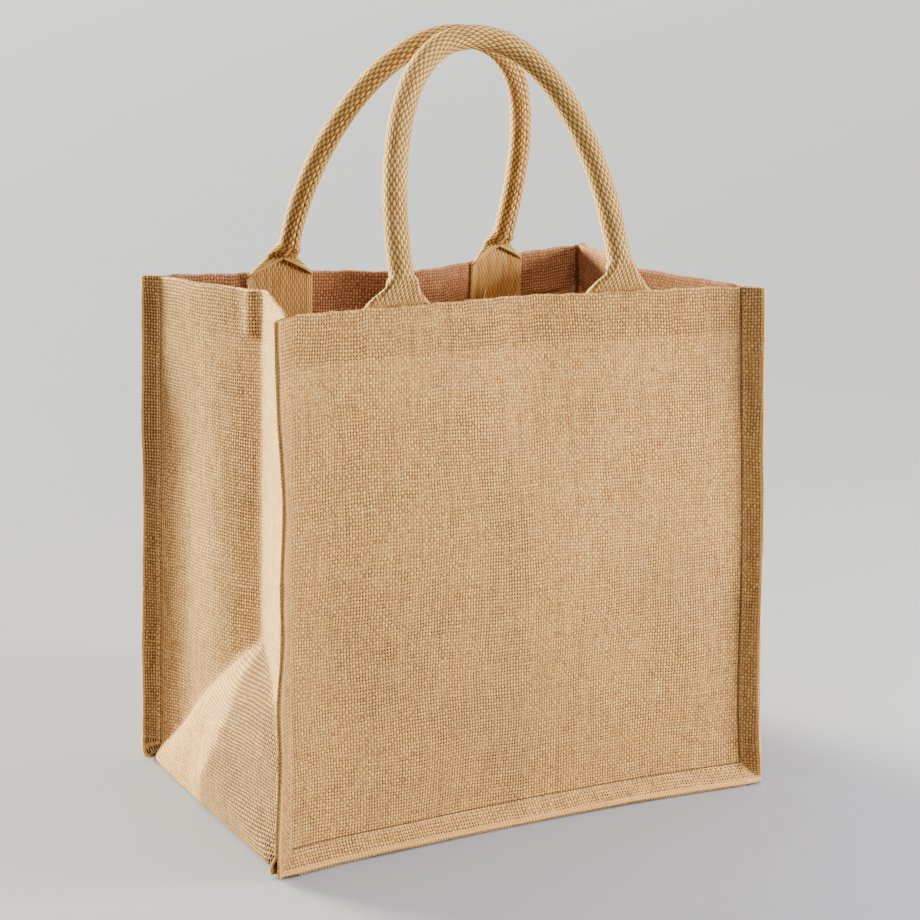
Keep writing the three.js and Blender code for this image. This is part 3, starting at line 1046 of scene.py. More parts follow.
@dataclass(frozen=True)
class HandleWebbing:
    """Cotton webbing, flat inside the hem, folded over above it and rolled to a tube along the arch."""

    shape: BagShape
    form: HandleForm
    panel: PanelForm
    width: float = 40.0
    thickness: float = 1.8
    tab_length: float = 30.0
    tab_gap: float = 0.8
    flare: float = 19.0
    lip_at: float = 16.2
    lip_radius: float = 1.0
    lip_turn: float = 1.35
    fold_length: float = 4.4
    fold_turn: float = 0.98
    softness: Pair = (0.7, 0.3)
    tab_top: float = -1.0
    tube_seam: float = 14.0

    @property
    def offset(self) -> float:
        """Centre line of the tube to the middle of its webbing."""
        return self.form.radius - self.thickness / 2

    @property
    def lean(self) -> np.ndarray:
        """Way that a leg goes for each millimetre up."""
        return np.array([0.0, self.form.leg_lean, 1.0])

    @property
    def outward(self) -> np.ndarray:
        """Way out from the handle's side of the bag."""
        return np.array([0.0, float(self.form.side), 0.0])

    def arch(self) -> np.ndarray:
        """Centre line of the tube.

        Returns:
            Points from the left foot to the right foot.
        """
        form = self.form
        level = self.shape.rim_height + self.flare
        feet = [np.array([*foot, level]) for foot in form.feet]
        rises = [self.lean * rise for rise in form.leg_rises]
        apex = np.array(form.apex)
        across = unit(np.array([1.0, form.apex_turn, 0.0])) * form.shoulder
        halves = [
            (feet[0], feet[0] + rises[0], apex - across, apex),
            (apex, apex + across, feet[1] + rises[1], feet[1]),
        ]
        t = np.linspace(0.0, 1.0, 81)[:, None]
        curves = [(1 - t) ** 3 * a + 3 * t * (1 - t) ** 2 * b + 3 * t * t * (1 - t) * c + t ** 3 * d
                  for a, b, c, d in halves]
        return np.concatenate([curves[0], curves[1][1:]])

    def profile(self, fold: float, spread: float, places: np.ndarray) -> np.ndarray:
        """Cross-section of the webbing, by adding up its turns from the middle outwards.

        Args:
            fold: Place where each half folds back, in millimetres from the middle.
            spread: How evenly the fold is spread, from 0 for a flat fold to 1 for a round tube.
            places: Places across the webbing, from one edge to the other.

        Returns:
            For each place, how far it is across and how far it is behind the middle.
        """
        run = np.linspace(0.0, self.width / 2, 401)
        length = lerp(self.fold_length, self.lip_at, spread)
        centre = lerp(fold, self.lip_at / 2, spread)
        soft = lerp(*self.softness, spread)
        begun = np.tanh((run - centre + length / 2) / soft)
        ended = np.tanh((run - centre - length / 2) / soft)
        bend = 0.5 * (begun - ended) * lerp(math.pi * self.fold_turn / length, 1 / self.offset, spread)
        lip = spread * 0.5 * (1 + np.tanh((run - self.lip_at) / 0.3))
        lip = lip * (run < self.lip_at + self.lip_turn * self.lip_radius)
        part = np.diff(run)
        heading = added_up((bend + lip / self.lip_radius)[1:] * part)
        across = added_up(np.cos(heading[1:]) * part)
        behind = added_up(np.sin(heading[1:]) * part)
        reach = np.abs(places)
        sideways = np.sign(places) * np.interp(reach, run, across)
        return np.stack([sideways, np.interp(reach, run, behind)], axis=-1)

    @staticmethod
    def inwards(end: int) -> float:
        """Sign of X towards the middle of the bag, from the left end (0) or the right (1)."""
        return 1.0 if end == 0 else -1.0

    def tab_line(self, end: int, places: np.ndarray, z: float) -> np.ndarray:
        """Row of points across the flat webbing on the inner face of the hem.

        Args:
            end: 0 for the left end, 1 for the right.
            places: Places across the webbing.
            z: Height.

        Returns:
            The row.
        """
        x = self.form.tabs[end] + self.inwards(end) * places
        depth = self.shape.cloth / 2 + self.shape.hem_extra + self.tab_gap + self.thickness / 2
        y = self.shape.panel_y(self.panel, x, min(z, self.shape.rim_height)) - self.form.side * depth
        return np.stack([x, y, np.full_like(x, z)], axis=-1)

    def rows(self, places: np.ndarray) -> np.ndarray:
        """Rows of points from the foot of the left tab, over the arch, to the foot of the right tab.

        Args:
            places: Places across the webbing.

        Returns:
            The rows.
        """
        arch = self.arch()
        tangents = unit(np.gradient(arch, axis=0))
        tangents[0] = unit(self.lean)
        tangents[-1] = -tangents[0]
        rows = self.leg_rows(0, places, arch[0], tangents[0])
        for centre, tangent in zip(arch[1:-1], tangents[1:-1]):
            rows.append(self.tube_row(centre, tangent, places))
        rows += self.leg_rows(1, places, arch[-1], -tangents[-1])[::-1]
        return np.array(rows)

    def frame_at(self, tangent: np.ndarray) -> tuple[np.ndarray, np.ndarray]:
        """Directions of the webbing where it runs along a tangent.

        Args:
            tangent: The way it runs.

        Returns:
            The outward direction and the crosswise one.
        """
        normal = unit(self.outward - self.outward.dot(tangent) * tangent)
        return normal, np.cross(normal, tangent) * float(self.form.side)

    def tube_row(self, centre: np.ndarray, tangent: np.ndarray, places: np.ndarray) -> np.ndarray:
        """Row of points round the rolled webbing.

        Args:
            centre: Point of the tube's centre line.
            tangent: Its direction there.
            places: Places across the webbing.

        Returns:
            The row.
        """
        normal, across = self.frame_at(tangent)
        section = self.profile(0.0, 1.0, places)
        middle = centre + normal * self.offset
        return middle + across * section[:, :1] - normal * section[:, 1:]

    def leg_rows(self, end: int, places: np.ndarray, foot: np.ndarray,
                 upwards: np.ndarray) -> list[np.ndarray]:
        """Rows of one end, from the foot of its tab up to the foot of the arch.

        Args:
            end: 0 for the left end, 1 for the right.
            places: Places across the webbing.
            foot: Foot of the arch.
            upwards: Direction of the leg there.

        Returns:
            The rows.
        """
        form, shape = self.form, self.shape
        rim = float(shape.rim_level(form.tabs[end] / (shape.rim_width / 2), float(form.side)))
        rows = [self.tab_line(end, places, rim + rise)
                for rise in np.linspace(-self.tab_length, self.tab_top, 14)]
        top = shape.rim_height + self.flare
        inwards = np.array([self.inwards(end), 0.0, 0.0])
        normal, across = self.frame_at(upwards)
        across = across * self.inwards(end)
        for rise in np.linspace(0.0, 1.0, 23):
            z = lerp(rim, top, rise)
            above = rise * self.flare
            fold = lerp(self.width / 2 + 0.8, self.width / 4, min(1.0, above / form.parting))
            spread = float(ease((above - form.parting) / (self.flare - form.parting)))
            blend = float(ease(rise ** 1.2))
            flat = self.tab_line(end, places, z)
            centre = foot - self.lean * (top - z)
            middle = centre + normal * self.offset
            home = self.tab_line(end, np.zeros(1), z)[0]
            start = lerp(home, middle, blend)
            out = unit(lerp(self.outward, normal, blend))
            way = unit(lerp(inwards, across, blend))
            section = self.profile(fold, spread, places)
            row = start + way * section[:, :1] - out * section[:, 1:]
            curve = (flat[:, 1] - home[1]) * (1 - blend)
            row[:, 1] += curve * np.abs(section[:, 0]) / np.maximum(np.abs(places), 1e-6)
            rows.append(row)
        return rows

    def build(self, name: str) -> ClothMesh:
        """Webbing of the whole handle.

        Args:
            name: Name of the piece.

        Returns:
            The webbing.
        """
        edge, turn = self.width / 2, self.tube_seam
        places = steps((-edge, 0), (-turn, 12), (turn, 26), (edge, 12))
        rows = self.rows(places)
        along = added_up(step_lengths(rows[:, len(places) // 2]))
        q, v = np.meshgrid(places, along)
        cloth = ClothMesh(name, rows, np.stack([q, v], axis=-1))
        cloth.thicken(self.thickness / 2, self.thickness / 2)
        cloth.inside_zone(np.full(q.shape, int(Zone.OUTSIDE)))
        cloth.mark("past_seam", np.abs(q) - self.width / 2)
        from_end = np.minimum(v, along[-1] - v) - self.tab_length
        cloth.mark("tube", ease((from_end - 1.0) / 5.0) / MM)
        return cloth

    @property
    def flat(self) -> Pair:
        """Width of the webbing and its length along its middle, in metres."""
        length = float(step_lengths(self.rows(np.zeros(1))[:, 0]).sum())
        return self.width * MM, length * MM


class Wire:
    """A socket of a node tree that takes part in sums; an expression adds its Math nodes."""

    def __init__(self, graph: "Graph", socket: bpy.types.NodeSocket) -> None:
        """Hold a socket and the graph that it belongs to."""
        self.graph = graph
        self.socket = socket

    def __add__(self, other: "Wire | float") -> "Wire":
        """Sum."""
        return self.graph.math("ADD", self, other)

    __radd__ = __add__

    def __sub__(self, other: "Wire | float") -> "Wire":
        """Difference."""
        return self.graph.math("SUBTRACT", self, other)

    def __rsub__(self, other: "Wire | float") -> "Wire":
        """Difference from a number."""
        return self.graph.math("SUBTRACT", other, self)

    def __mul__(self, other: "Wire | float") -> "Wire":
        """Product."""
        return self.graph.math("MULTIPLY", self, other)

    __rmul__ = __mul__

    def __truediv__(self, other: "Wire | float") -> "Wire":
        """Quotient."""
        return self.graph.math("DIVIDE", self, other)

    def __gt__(self, other: "Wire | float") -> "Wire":
        """1 where this is greater."""
        return self.graph.math("GREATER_THAN", self, other)

    def __abs__(self) -> "Wire":
        """Size without its sign."""
        return self.graph.math("ABSOLUTE", self)


class Graph:
    """The node tree of one material, with a principled shader at its end."""

    def __init__(self, name: str) -> None:
        """Start a material.

        Args:
            name: Name of the material.
        """
        self.material = bpy.data.materials.new(name)
        self.material.use_nodes = True
        self.tree = self.material.node_tree
        self.tree.nodes.clear()
        self.shader = self.node("ShaderNodeBsdfPrincipled")
        output = self.node("ShaderNodeOutputMaterial")
        self.tree.links.new(self.shader.outputs["BSDF"], output.inputs["Surface"])

    def node(self, kind: str, settings: dict | None = None, values: dict | None = None) -> bpy.types.Node:
        """Add a node.

        Args:
            kind: Blender's type name of the node.
            settings: Properties to set first; "stops" fills a colour ramp.
            values: Numbers, colours or wires by socket name or number.

        Returns:
            The node.
        """
        node = self.tree.nodes.new(kind)
        for name, value in (settings or {}).items():
            if name == "stops":
                self.fill_ramp(node.color_ramp, value)
            else:
                setattr(node, name, value)
        for socket, value in (values or {}).items():
            self.plug(node.inputs[socket], value)
        return node

    @staticmethod
    def fill_ramp(ramp: bpy.types.ColorRamp, stops: list[tuple[float, tuple]]) -> None:
        """Give a colour ramp its stops.

        Args:
            ramp: The ramp.
            stops: Places and colours.
        """
        while len(ramp.elements) < len(stops):
            ramp.elements.new(1.0)
        for element, (place, colour) in zip(ramp.elements, stops):
            element.position = place
            element.color = (*colour, 1.0)

    def plug(self, socket: bpy.types.NodeSocket, value: Wire | float | tuple) -> None:
        """Put a value into a socket.

        Args:
            socket: The socket.
            value: A number, a colour or a wire.
        """
        if isinstance(value, Wire):
            self.tree.links.new(value.socket, socket)
        elif isinstance(value, tuple) and len(value) == 3 and socket.type == "RGBA":
            socket.default_value = (*value, 1.0)
        else:
            socket.default_value = value

    def wire(self, node: bpy.types.Node, output: str | int = 0) -> Wire:
        """Wire from a node's output."""
        return Wire(self, node.outputs[output])

    def math(self, operation: str, *values: Wire | float, clamp: bool = False) -> Wire:
        """Result of a Math node."""
        settings = {"operation": operation, "use_clamp": clamp}
        return self.wire(self.node("ShaderNodeMath", settings, dict(enumerate(values))))

    def vector(self, x: Wire | float, y: Wire | float, z: Wire | float = 0.0) -> Wire:
        """Vector put together from numbers or wires."""
        return self.wire(self.node("ShaderNodeCombineXYZ", None, {0: x, 1: y, 2: z}))

    def noise(self, vector: Wire, scale: float, detail: float = 1.0) -> Wire:
        """Noise in two dimensions, from 0 to 1."""
        values = {"Vector": vector, "Scale": scale, "Detail": detail}
        return self.wire(self.node("ShaderNodeTexNoise", {"noise_dimensions": "2D"}, values), "Fac")

    def grain(self, x: Wire, y: Wire, scales: Pair, detail: float = 1.0, shifts: Pair | None = None) -> Wire:
        """Noise with a scale of its own each way.

        Args:
            x: First place.
            y: Second place.
            scales: Scale of each.
            detail: Detail of the noise.
            shifts: Number added to each after it is scaled.

        Returns:
            The noise, from 0 to 1.
        """
        x, y = x * scales[0], y * scales[1]
        if shifts:
            x, y = x + shifts[0], y + shifts[1]
        return self.noise(self.vector(x, y), 1.0, detail)

    def step(self, value: Wire, low: float, high: float, to_low: float = 0.0, to_high: float = 1.0) -> Wire:
        """Smooth step of a value between two marks."""
        values = {0: value, 1: low, 2: high, 3: to_low, 4: to_high}
        return self.wire(self.node("ShaderNodeMapRange", {"interpolation_type": "SMOOTHSTEP"}, values))

    def band(self, value: Wire, rise: Pair, fall: Pair) -> Wire:
        """1 between a smooth rise and a smooth fall of a value."""
        return self.step(value, *rise) * self.step(value, *fall)

    def mix(self, share: Wire | float, first: Wire | Colour, second: Wire | Colour,
            blend: str = "MIX") -> Wire:
        """Mix of two colours."""
        settings = {"data_type": "RGBA", "blend_type": blend, "clamp_factor": True}
        return self.wire(self.node("ShaderNodeMix", settings, {0: share, 6: first, 7: second}), 2)

    def pick(self, share: Wire, first: Wire, second: Wire) -> Wire:
        """Mix of two numbers."""
        return first + (second - first) * share

    def ramp(self, value: Wire, *stops: tuple[float, tuple]) -> Wire:
        """Colour of a ramp at a value."""
        return self.wire(self.node("ShaderNodeValToRGB", {"stops": list(stops)}, {0: value}), "Color")

    def cloth_place(self) -> tuple[Wire, Wire]:
        """Place on the flat cloth in metres.

        Returns:
            The place across it and along it.
        """
        uv = self.node("ShaderNodeUVMap", {"uv_map": "cloth"})
        parts = self.node("ShaderNodeSeparateXYZ", None, {0: self.wire(uv)})
        return self.wire(parts, 0), self.wire(parts, 1)

    def mark(self, name: str) -> Wire:
        """One of the distances kept with the mesh, in metres."""
        return self.wire(self.node("ShaderNodeAttribute", {"attribute_name": name}), "Fac")

    def bump(self, height: Wire, distance: float) -> Wire:
        """Normal of a surface with that height."""
        values = {"Strength": 1.0, "Distance": distance, "Height": height}
        return self.wire(self.node("ShaderNodeBump", None, values))

    def finish(self, colour: Wire, roughness: Wire, normal: Wire, **fixed: float) -> bpy.types.Material:
        """Fill the shader's sockets.

        Args:
            colour: The base colour.
            roughness: The roughness.
            normal: The bumped normal.
            **fixed: Numbers that are the same all over, by socket name with _ for a space.

        Returns:
            The material.
        """
        for socket, value in {"Base Color": colour, "Roughness": roughness, "Normal": normal}.items():
            self.plug(self.shader.inputs[socket], value)
        for name, value in fixed.items():
            self.shader.inputs[name.replace("_", " ")].default_value = value
        return self.material


@dataclass(frozen=True)
class Threads:
    """Wires of a weave's pattern. Ends run along the cloth and picks run across it."""

    u: Wire
    v: Wire
    across: Wire
    along: Wire
    end_no: Wire
    pick_no: Wire
    height: Wire
    end_top: Wire
    cover: Wire


@dataclass(frozen=True)
class Weave:
    """Plain weave: its two thread pitches in metres and how the threads swell over each other."""

    THINNEST: ClassVar[float] = 1.45
    GIRTH_RANGE: ClassVar[float] = 0.8

    across_pitch: float
    along_pitch: float
    rise: float
    swell: float
    cover: float
    wander: float
    seed: float
    wander_scales: Pair = (13.0, 95.0)
    short_wander: float = 0.12
    end_girths: Pair = (3.71, 42.0)
    pick_girths: Pair = (3.37, 42.0)

    def threads(self, graph: Graph) -> Threads:
        """Add the pattern.

        Args:
            graph: The graph to add it to.

        Returns:
            The place on the cloth in metres and in threads, the number of each thread, the height, 1 where
            the end is on top, and how well the threads cover the place.
        """
        g = graph
        u, v = g.cloth_place()
        across = (u + self.sway(g, g.vector(u + self.seed, v - self.seed))) / self.across_pitch
        along = (v + self.sway(g, g.vector(v + self.seed, u + 3.1))) / self.along_pitch
        end_no, pick_no = g.math("FLOOR", across), g.math("FLOOR", along)
        end_odd = 1 - 2 * g.math("FLOORED_MODULO", end_no, 2.0)
        pick_odd = 1 - 2 * g.math("FLOORED_MODULO", pick_no, 2.0)
        end_over = g.math("SINE", along * math.pi) * end_odd
        pick_over = g.math("SINE", across * math.pi) * pick_odd * -1.0
        end_round = self.roundness(g, across - end_no, g.grain(end_no, v, self.end_girths))
        pick_round = self.roundness(g, along - pick_no, g.grain(pick_no, u, self.pick_girths))
        end_height = end_over * self.rise + (end_round - 1) * self.swell + self.cover
        pick_height = pick_over * self.rise + (pick_round - 1) * self.swell
        return Threads(
            u, v, across, along, end_no, pick_no, g.math("MAXIMUM", end_height, pick_height),
            end_height > pick_height, g.math("MAXIMUM", end_round, pick_round),
        )

    def sway(self, graph: Graph, place: Wire) -> Wire:
        """How far the threads wander off their straight line, in long waves and in short ones.

        Args:
            graph: The graph.
            place: Place on the cloth.

        Returns:
            The distance in metres.
        """
        long_scale, short_scale = self.wander_scales
        long = (graph.noise(place, long_scale) - 0.5) * self.wander
        return long + (graph.noise(place, short_scale) - 0.5) * self.wander * self.short_wander

    @staticmethod
    def roundness(graph: Graph, place: Wire, girth: Wire) -> Wire:
        """Height of a round thread across itself, thinner where its girth is low."""
        off = (place * 2 - 1) * (Weave.THINNEST - girth * Weave.GIRTH_RANGE)
        return graph.math("SQRT", graph.math("MAXIMUM", 1 - off * off, 0.0))


HESSIAN = Weave(across_pitch=0.00175, along_pitch=0.00192, rise=0.3, swell=0.75, cover=0.02, wander=0.006,
                seed=0.37)
WEBBING = Weave(across_pitch=0.00128, along_pitch=0.00265, rise=0.5, swell=0.7, cover=1.3, wander=0.0012,
                seed=1.9)


@dataclass(frozen=True)
class Patches:
    """Uneven patches on a cloth: their scales and detail, where their edges lie, and how strong they are."""

    scales: Pair
    detail: float
    edges: Pair
    strength: float

    def mask(self, graph: Graph, x: Wire, y: Wire) -> Wire:
        """1 inside the patches."""
        return graph.step(graph.grain(x, y, self.scales, self.detail), *self.edges)


@dataclass(frozen=True)
class JuteFinish:
    """Hessian of jute: uneven threads, brown streaks and slubs, with painted shade in the gaps between
    threads, in the seam grooves and needle holes, on the fins and on the triangle, a darker hem band, and a
    painted highlight on the fins' cut edges.
    """

    name: str
    weave: Weave = HESSIAN
    dark: Colour = (0.30, 0.135, 0.040)
    middle: Colour = (0.50, 0.248, 0.080)
    light: Colour = (0.68, 0.365, 0.115)
    straw: Colour = (0.84, 0.50, 0.165)
    rust: Colour = (0.36, 0.130, 0.035)
    mauve: Colour = (0.44, 0.250, 0.115)
    # Painted shade: the colour of the gaps between the threads, of the seam groove and of the needle holes.
    gap: Colour = (0.035, 0.018, 0.013)
    # Colour multiplied in as painted shade on the fins and the triangle, and for the darker hem band.
    shade: Colour = (0.30, 0.27, 0.30)
    tone_stops: tuple[float, ...] = (0.22, 0.38, 0.52, 0.72)
    end_scales: Pair = (5.3, 140.0)
    end_tones: Pair = (0.55, 0.28)
    pick_scales: Pair = (4.9, 120.0)
    pick_tones: Pair = (0.35, 0.23)
    fibre_scales: Pair = (7.0, 0.9)
    fibre_tone: float = 0.55
    spot_scales: Pair = (2.9, 2.7)
    spot_tone: float = 0.2
    streaks: Patches = Patches((230.0, 20.0), 1.0, (0.56, 0.8), 0.3)
    clouds: Patches = Patches((9.0, 7.0), 2.0, (0.5, 0.75), 0.3)
    slubs: Patches = Patches((95.0, 2.3), 1.0, (0.7, 0.78), 0.5)
    # Depth of the painted shade in the gaps between the threads, overall and in its bands, patches and holes.
    openness: float = 0.85
    open_hem: float = 0.2
    tight_under_hem: float = 0.22
    # Extra painted shade in the gaps on the fins and on the triangle.
    fin_gap_shade: float = 0.2
    triangle_gap_shade: float = 0.3
    open_patches: float = 0.8
    open_holes: float = 0.9
    patch_scales: Pair = (21.0, 16.0)
    hole_scales: Pair = (3.3, 3.1)
    thread_gap: Pair = (0.62, 0.98)
    fin_edge: Pair = (0.002, 0.004)
    hem_edge: Pair = (0.028, 0.022)
    lower_hem: tuple[Pair, Pair] = ((0.010, 0.014), (0.0255, 0.0245))
    under_hem: tuple[Pair, Pair] = ((0.0245, 0.027), (0.060, 0.035))
    # Shares of the shade colour: painted shade on the triangle and on the fins, and a darker band in the hem.
    triangle_painted_shade: float = 0.38
    fin_painted_shade: float = 0.16
    hem_darkening: float = 0.17
    relief: float = 0.0005
    fibre_relief: float = 0.35
    gap_relief: float = 0.3
    roughness: Pair = (0.92, 0.1)
    specular: float = 0.06
    # Painted shade in the seam groove and in the needle holes, and a painted highlight on the cut edge of the
    # fins, which also stands for its lighter weft.
    groove_at: float = 0.0003
    groove_edges: Pair = (0.0011, 0.0004)
    groove_strength: float = 0.7
    stitch_pitch: float = 0.0033
    stitch_row: float = 0.0021
    needle_edges: tuple[Pair, Pair] = ((0.2, 0.08), (0.0009, 0.0003))
    needle_strength: float = 0.8
    cut_edge: Pair = (0.0108, 0.0116)
    cut_edge_strength: float = 0.75

    def material(self) -> bpy.types.Material:
        """Build the material.

        Returns:
            The material.
        """
        g = Graph(self.name)
        t = self.weave.threads(g)
        past, below, open_weave = g.mark("past_seam"), g.mark("below_rim"), g.mark("open_weave")
        across, along = self.fibre_scales
        fibre_end = g.grain(t.across, t.along, (across, along), 2.0)
        fibre_pick = g.grain(t.across, t.along, (along, across), 2.0)
        fibre = g.pick(t.end_top, fibre_pick, fibre_end)
        colour = self.thread_colour(g, t, fibre)
        on_fin = g.step(past, *self.fin_edge)
        hollow = g.step(t.cover - open_weave * 0.05, *self.thread_gap, 1.0, 0.0)
        depth = self.gap_depth(g, t, below) + on_fin * self.fin_gap_shade + open_weave * self.triangle_gap_shade
        # Painted shade in the gaps between the threads, deeper on the fins and on the triangle.
        colour = g.mix(g.math("MULTIPLY", hollow, depth, clamp=True), colour, self.gap)
        in_hem = g.step(below, *self.hem_edge)
        # Painted shade on the fins and the triangle, and a darker band in the hem.
        shade_and_hem_darkening = g.math("MAXIMUM", on_fin * self.fin_painted_shade, in_hem * self.hem_darkening)
        shade_and_hem_darkening = g.math("MAXIMUM", open_weave * self.triangle_painted_shade, shade_and_hem_darkening)
        colour = g.mix(shade_and_hem_darkening, colour, self.shade, "MULTIPLY")
        height = t.height + (fibre - 0.5) * self.fibre_relief - hollow * self.gap_relief
        rough, rough_range = self.roughness
        return g.finish(self.seam_shade_and_lit_edge(g, colour, past), rough + (fibre - 0.5) * rough_range,
                        g.bump(height, self.relief), Specular_IOR_Level=self.specular)

    def thread_colour(self, g: Graph, t: Threads, fibre: Wire) -> Wire:
        """Colour of the threads: each of its own tone, with brown streaks, clouds and slubs.

        Args:
            g: The graph.
            t: The weave.
            fibre: Tone of the fibres in the threads.

        Returns:
            The colour.
        """
        end_tone = g.grain(t.end_no, t.v, self.end_scales, 2.0)
        pick_tone = g.grain(t.pick_no, t.u, self.pick_scales, 2.0)
        spot = g.grain(t.end_no, t.pick_no, self.spot_scales, 0.0, (0.5, 0.5))
        (pick_share, pick_base), (end_share, end_base) = self.pick_tones, self.end_tones
        tone = (g.pick(t.end_top, pick_tone * pick_share + pick_base, end_tone * end_share + end_base)
                + (fibre - 0.5) * self.fibre_tone + (spot - 0.5) * self.spot_tone)
        tones = (self.dark, self.middle, self.light, self.straw)
        colour = g.ramp(tone, *zip(self.tone_stops, tones))
        colour = g.mix(self.streaks.mask(g, t.u, t.v) * self.streaks.strength, colour, self.rust)
        colour = g.mix(self.clouds.mask(g, t.u, t.v) * self.clouds.strength, colour, self.mauve)
        slub = self.slubs.mask(g, t.u, t.pick_no) * (1 - t.end_top)
        return g.mix(slub * self.slubs.strength, colour, self.rust)

    def gap_depth(self, g: Graph, t: Threads, below: Wire) -> Wire:
        """How dark the painted shade in the gaps between the threads is, away from the fins and the triangle.

        Args:
            g: The graph.
            t: The weave.
            below: Distance down from the rim.

        Returns:
            The depth, about 0 to 1.
        """
        patch = g.grain(t.u, t.v, self.patch_scales)
        hole = g.grain(t.end_no, t.pick_no, self.hole_scales, 0.0, (7.5, 0.5))
        return (self.openness + g.band(below, *self.lower_hem) * self.open_hem
                - g.band(below, *self.under_hem) * self.tight_under_hem
                + (patch - 0.5) * self.open_patches + (hole - 0.5) * self.open_holes)

    def seam_shade_and_lit_edge(self, g: Graph, colour: Wire, past: Wire) -> Wire:
        """Paint shade into the groove of the seams and the needle holes, and lighten the turned edge with a
        painted highlight that also stands for its lighter weft.

        Args:
            g: The graph.
            colour: The cloth's colour.
            past: Distance out from the seam.

        Returns:
            The new colour.
        """
        # Painted shade in the seam groove.
        groove = g.step(abs(past + self.groove_at), *self.groove_edges)
        colour = g.mix(groove * g.mark("groove") * self.groove_strength, colour, self.gap)
        # Painted shade in the needle holes.
        way = g.mark("along_seam") / self.stitch_pitch
        along_edges, across_edges = self.needle_edges
        hole = g.step(abs(way - g.math("FLOOR", way) - 0.5), *along_edges)
        hole = hole * g.step(abs(past - self.stitch_row), *across_edges)
        colour = g.mix(hole * self.needle_strength, colour, self.gap)
        # Painted highlight on the cut edge of the fins, which also stands for its lighter weft.
        return g.mix(g.step(past, *self.cut_edge) * self.cut_edge_strength, colour, self.light)


@dataclass(frozen=True)
class LaminateFinish:
    """The inner face of the hessian under its clear film: smooth and glossy, with the weave showing."""

    name: str
    weave: Weave = HESSIAN
    pale: Colour = (0.60, 0.37, 0.215)
    brown: Colour = (0.33, 0.165, 0.08)
    thread_scales: Pair = (60.0, 3.1)
    tone_edges: Pair = (0.3, 0.7)
    thread_gap: Pair = (0.5, 0.95)
    gap_strength: float = 0.6
    wrinkles: float = 160.0
    weave_relief: float = 0.35
    wrinkle_relief: float = 0.8
    relief: float = 0.0004
    roughness: Pair = (0.34, 0.16)
    film: Pair = (0.35, 0.22)

    def material(self) -> bpy.types.Material:
        """Build the material.

        Returns:
            The material.
        """
        g = Graph(self.name)
        t = self.weave.threads(g)
        tone = g.grain(t.u, t.pick_no, self.thread_scales, 2.0)
        base = g.mix(g.step(tone, *self.tone_edges), self.brown, self.pale)
        hollow = g.step(t.cover, *self.thread_gap, self.gap_strength, 0.0)
        wrinkle = g.noise(g.vector(t.u, t.v), self.wrinkles, 3.0)
        height = t.height * self.weave_relief + wrinkle * self.wrinkle_relief
        (rough, rough_range), (weight, coat_rough) = self.roughness, self.film
        return g.finish(g.mix(hollow, base, self.brown), rough + tone * rough_range,
                        g.bump(height, self.relief), Coat_Weight=weight, Coat_Roughness=coat_rough)


@dataclass(frozen=True)
class WebbingFinish:
    """Cotton webbing: a tight weave in which the lengthwise threads cover the others."""

    name: str
    weave: Weave = WEBBING
    dark: Colour = (0.17, 0.070, 0.017)
    middle: Colour = (0.52, 0.285, 0.085)
    light: Colour = (0.76, 0.480, 0.160)
    tab: Colour = (0.72, 0.55, 0.52)
    end_scales: Pair = (4.3, 60.0)
    fibre_scales: Pair = (5.0, 1.2)
    tone_stops: Pair = (0.25, 0.6)
    fibre_tone: float = 0.5
    thread_gap: Pair = (0.6, 1.55)
    gap_strength: Pair = (0.5, 0.45)
    tab_strength: float = 0.52
    selvedge_highlight: Pair = (-0.0032, -0.0022)
    selvedge_highlight_strength: float = 0.45
    relief: float = 0.0005
    fibre_relief: float = 0.25
    roughness: Pair = (0.9, 0.12)
    specular: float = 0.08

    def material(self) -> bpy.types.Material:
        """Build the material.

        Returns:
            The material.
        """
        g = Graph(self.name)
        t = self.weave.threads(g)
        past, tube = g.mark("past_seam"), g.mark("tube")
        tone = g.grain(t.end_no, t.v, self.end_scales, 2.0)
        fibre = g.grain(t.across, t.along, self.fibre_scales, 2.0)
        tone = tone + (fibre - 0.5) * self.fibre_tone
        colour = g.ramp(tone, *zip(self.tone_stops, (self.middle, self.light)))
        on_tab, more_on_tube = self.gap_strength
        # Painted shade in the gaps between the threads, deeper on the tube.
        hollow = g.step(t.height, *self.thread_gap, 1.0, 0.0) * (on_tab + tube * more_on_tube)
        colour = g.mix(hollow, colour, self.dark)
        colour = g.mix((1 - tube) * self.tab_strength, colour, self.tab, "MULTIPLY")
        # Painted highlight along the rolled edges of the webbing.
        colour = g.mix(g.step(past, *self.selvedge_highlight) * self.selvedge_highlight_strength, colour, self.light)
        rough, rough_range = self.roughness
        height = t.height + (fibre - 0.5) * self.fibre_relief
        return g.finish(colour, rough + (fibre - 0.5) * rough_range, g.bump(height, self.relief),
                        Specular_IOR_Level=self.specular)


@dataclass(frozen=True)
class ThreadFinish:
    """Sewing thread and loose fibres: pale, with the twist of its plies."""

    name: str
    dark: Colour
    light: Colour
    twist: float = 900.0
    twist_edges: Pair = (0.35, 0.65)
    roughness: Pair = (0.6, 0.2)
    relief: float = 0.0001

    def material(self) -> bpy.types.Material:
        """Build the material.

        Returns:
            The material.
        """
        g = Graph(self.name)
        place = g.wire(g.node("ShaderNodeTexCoord"), "Object")
        node = g.node("ShaderNodeTexNoise", None, {"Vector": place, "Scale": self.twist, "Detail": 2.0})
        twist = g.wire(node, "Fac")
        colour = g.mix(g.step(twist, *self.twist_edges), self.dark, self.light)
        rough, rough_range = self.roughness
        return g.finish(colour, rough + twist * rough_range, g.bump(twist, self.relief))


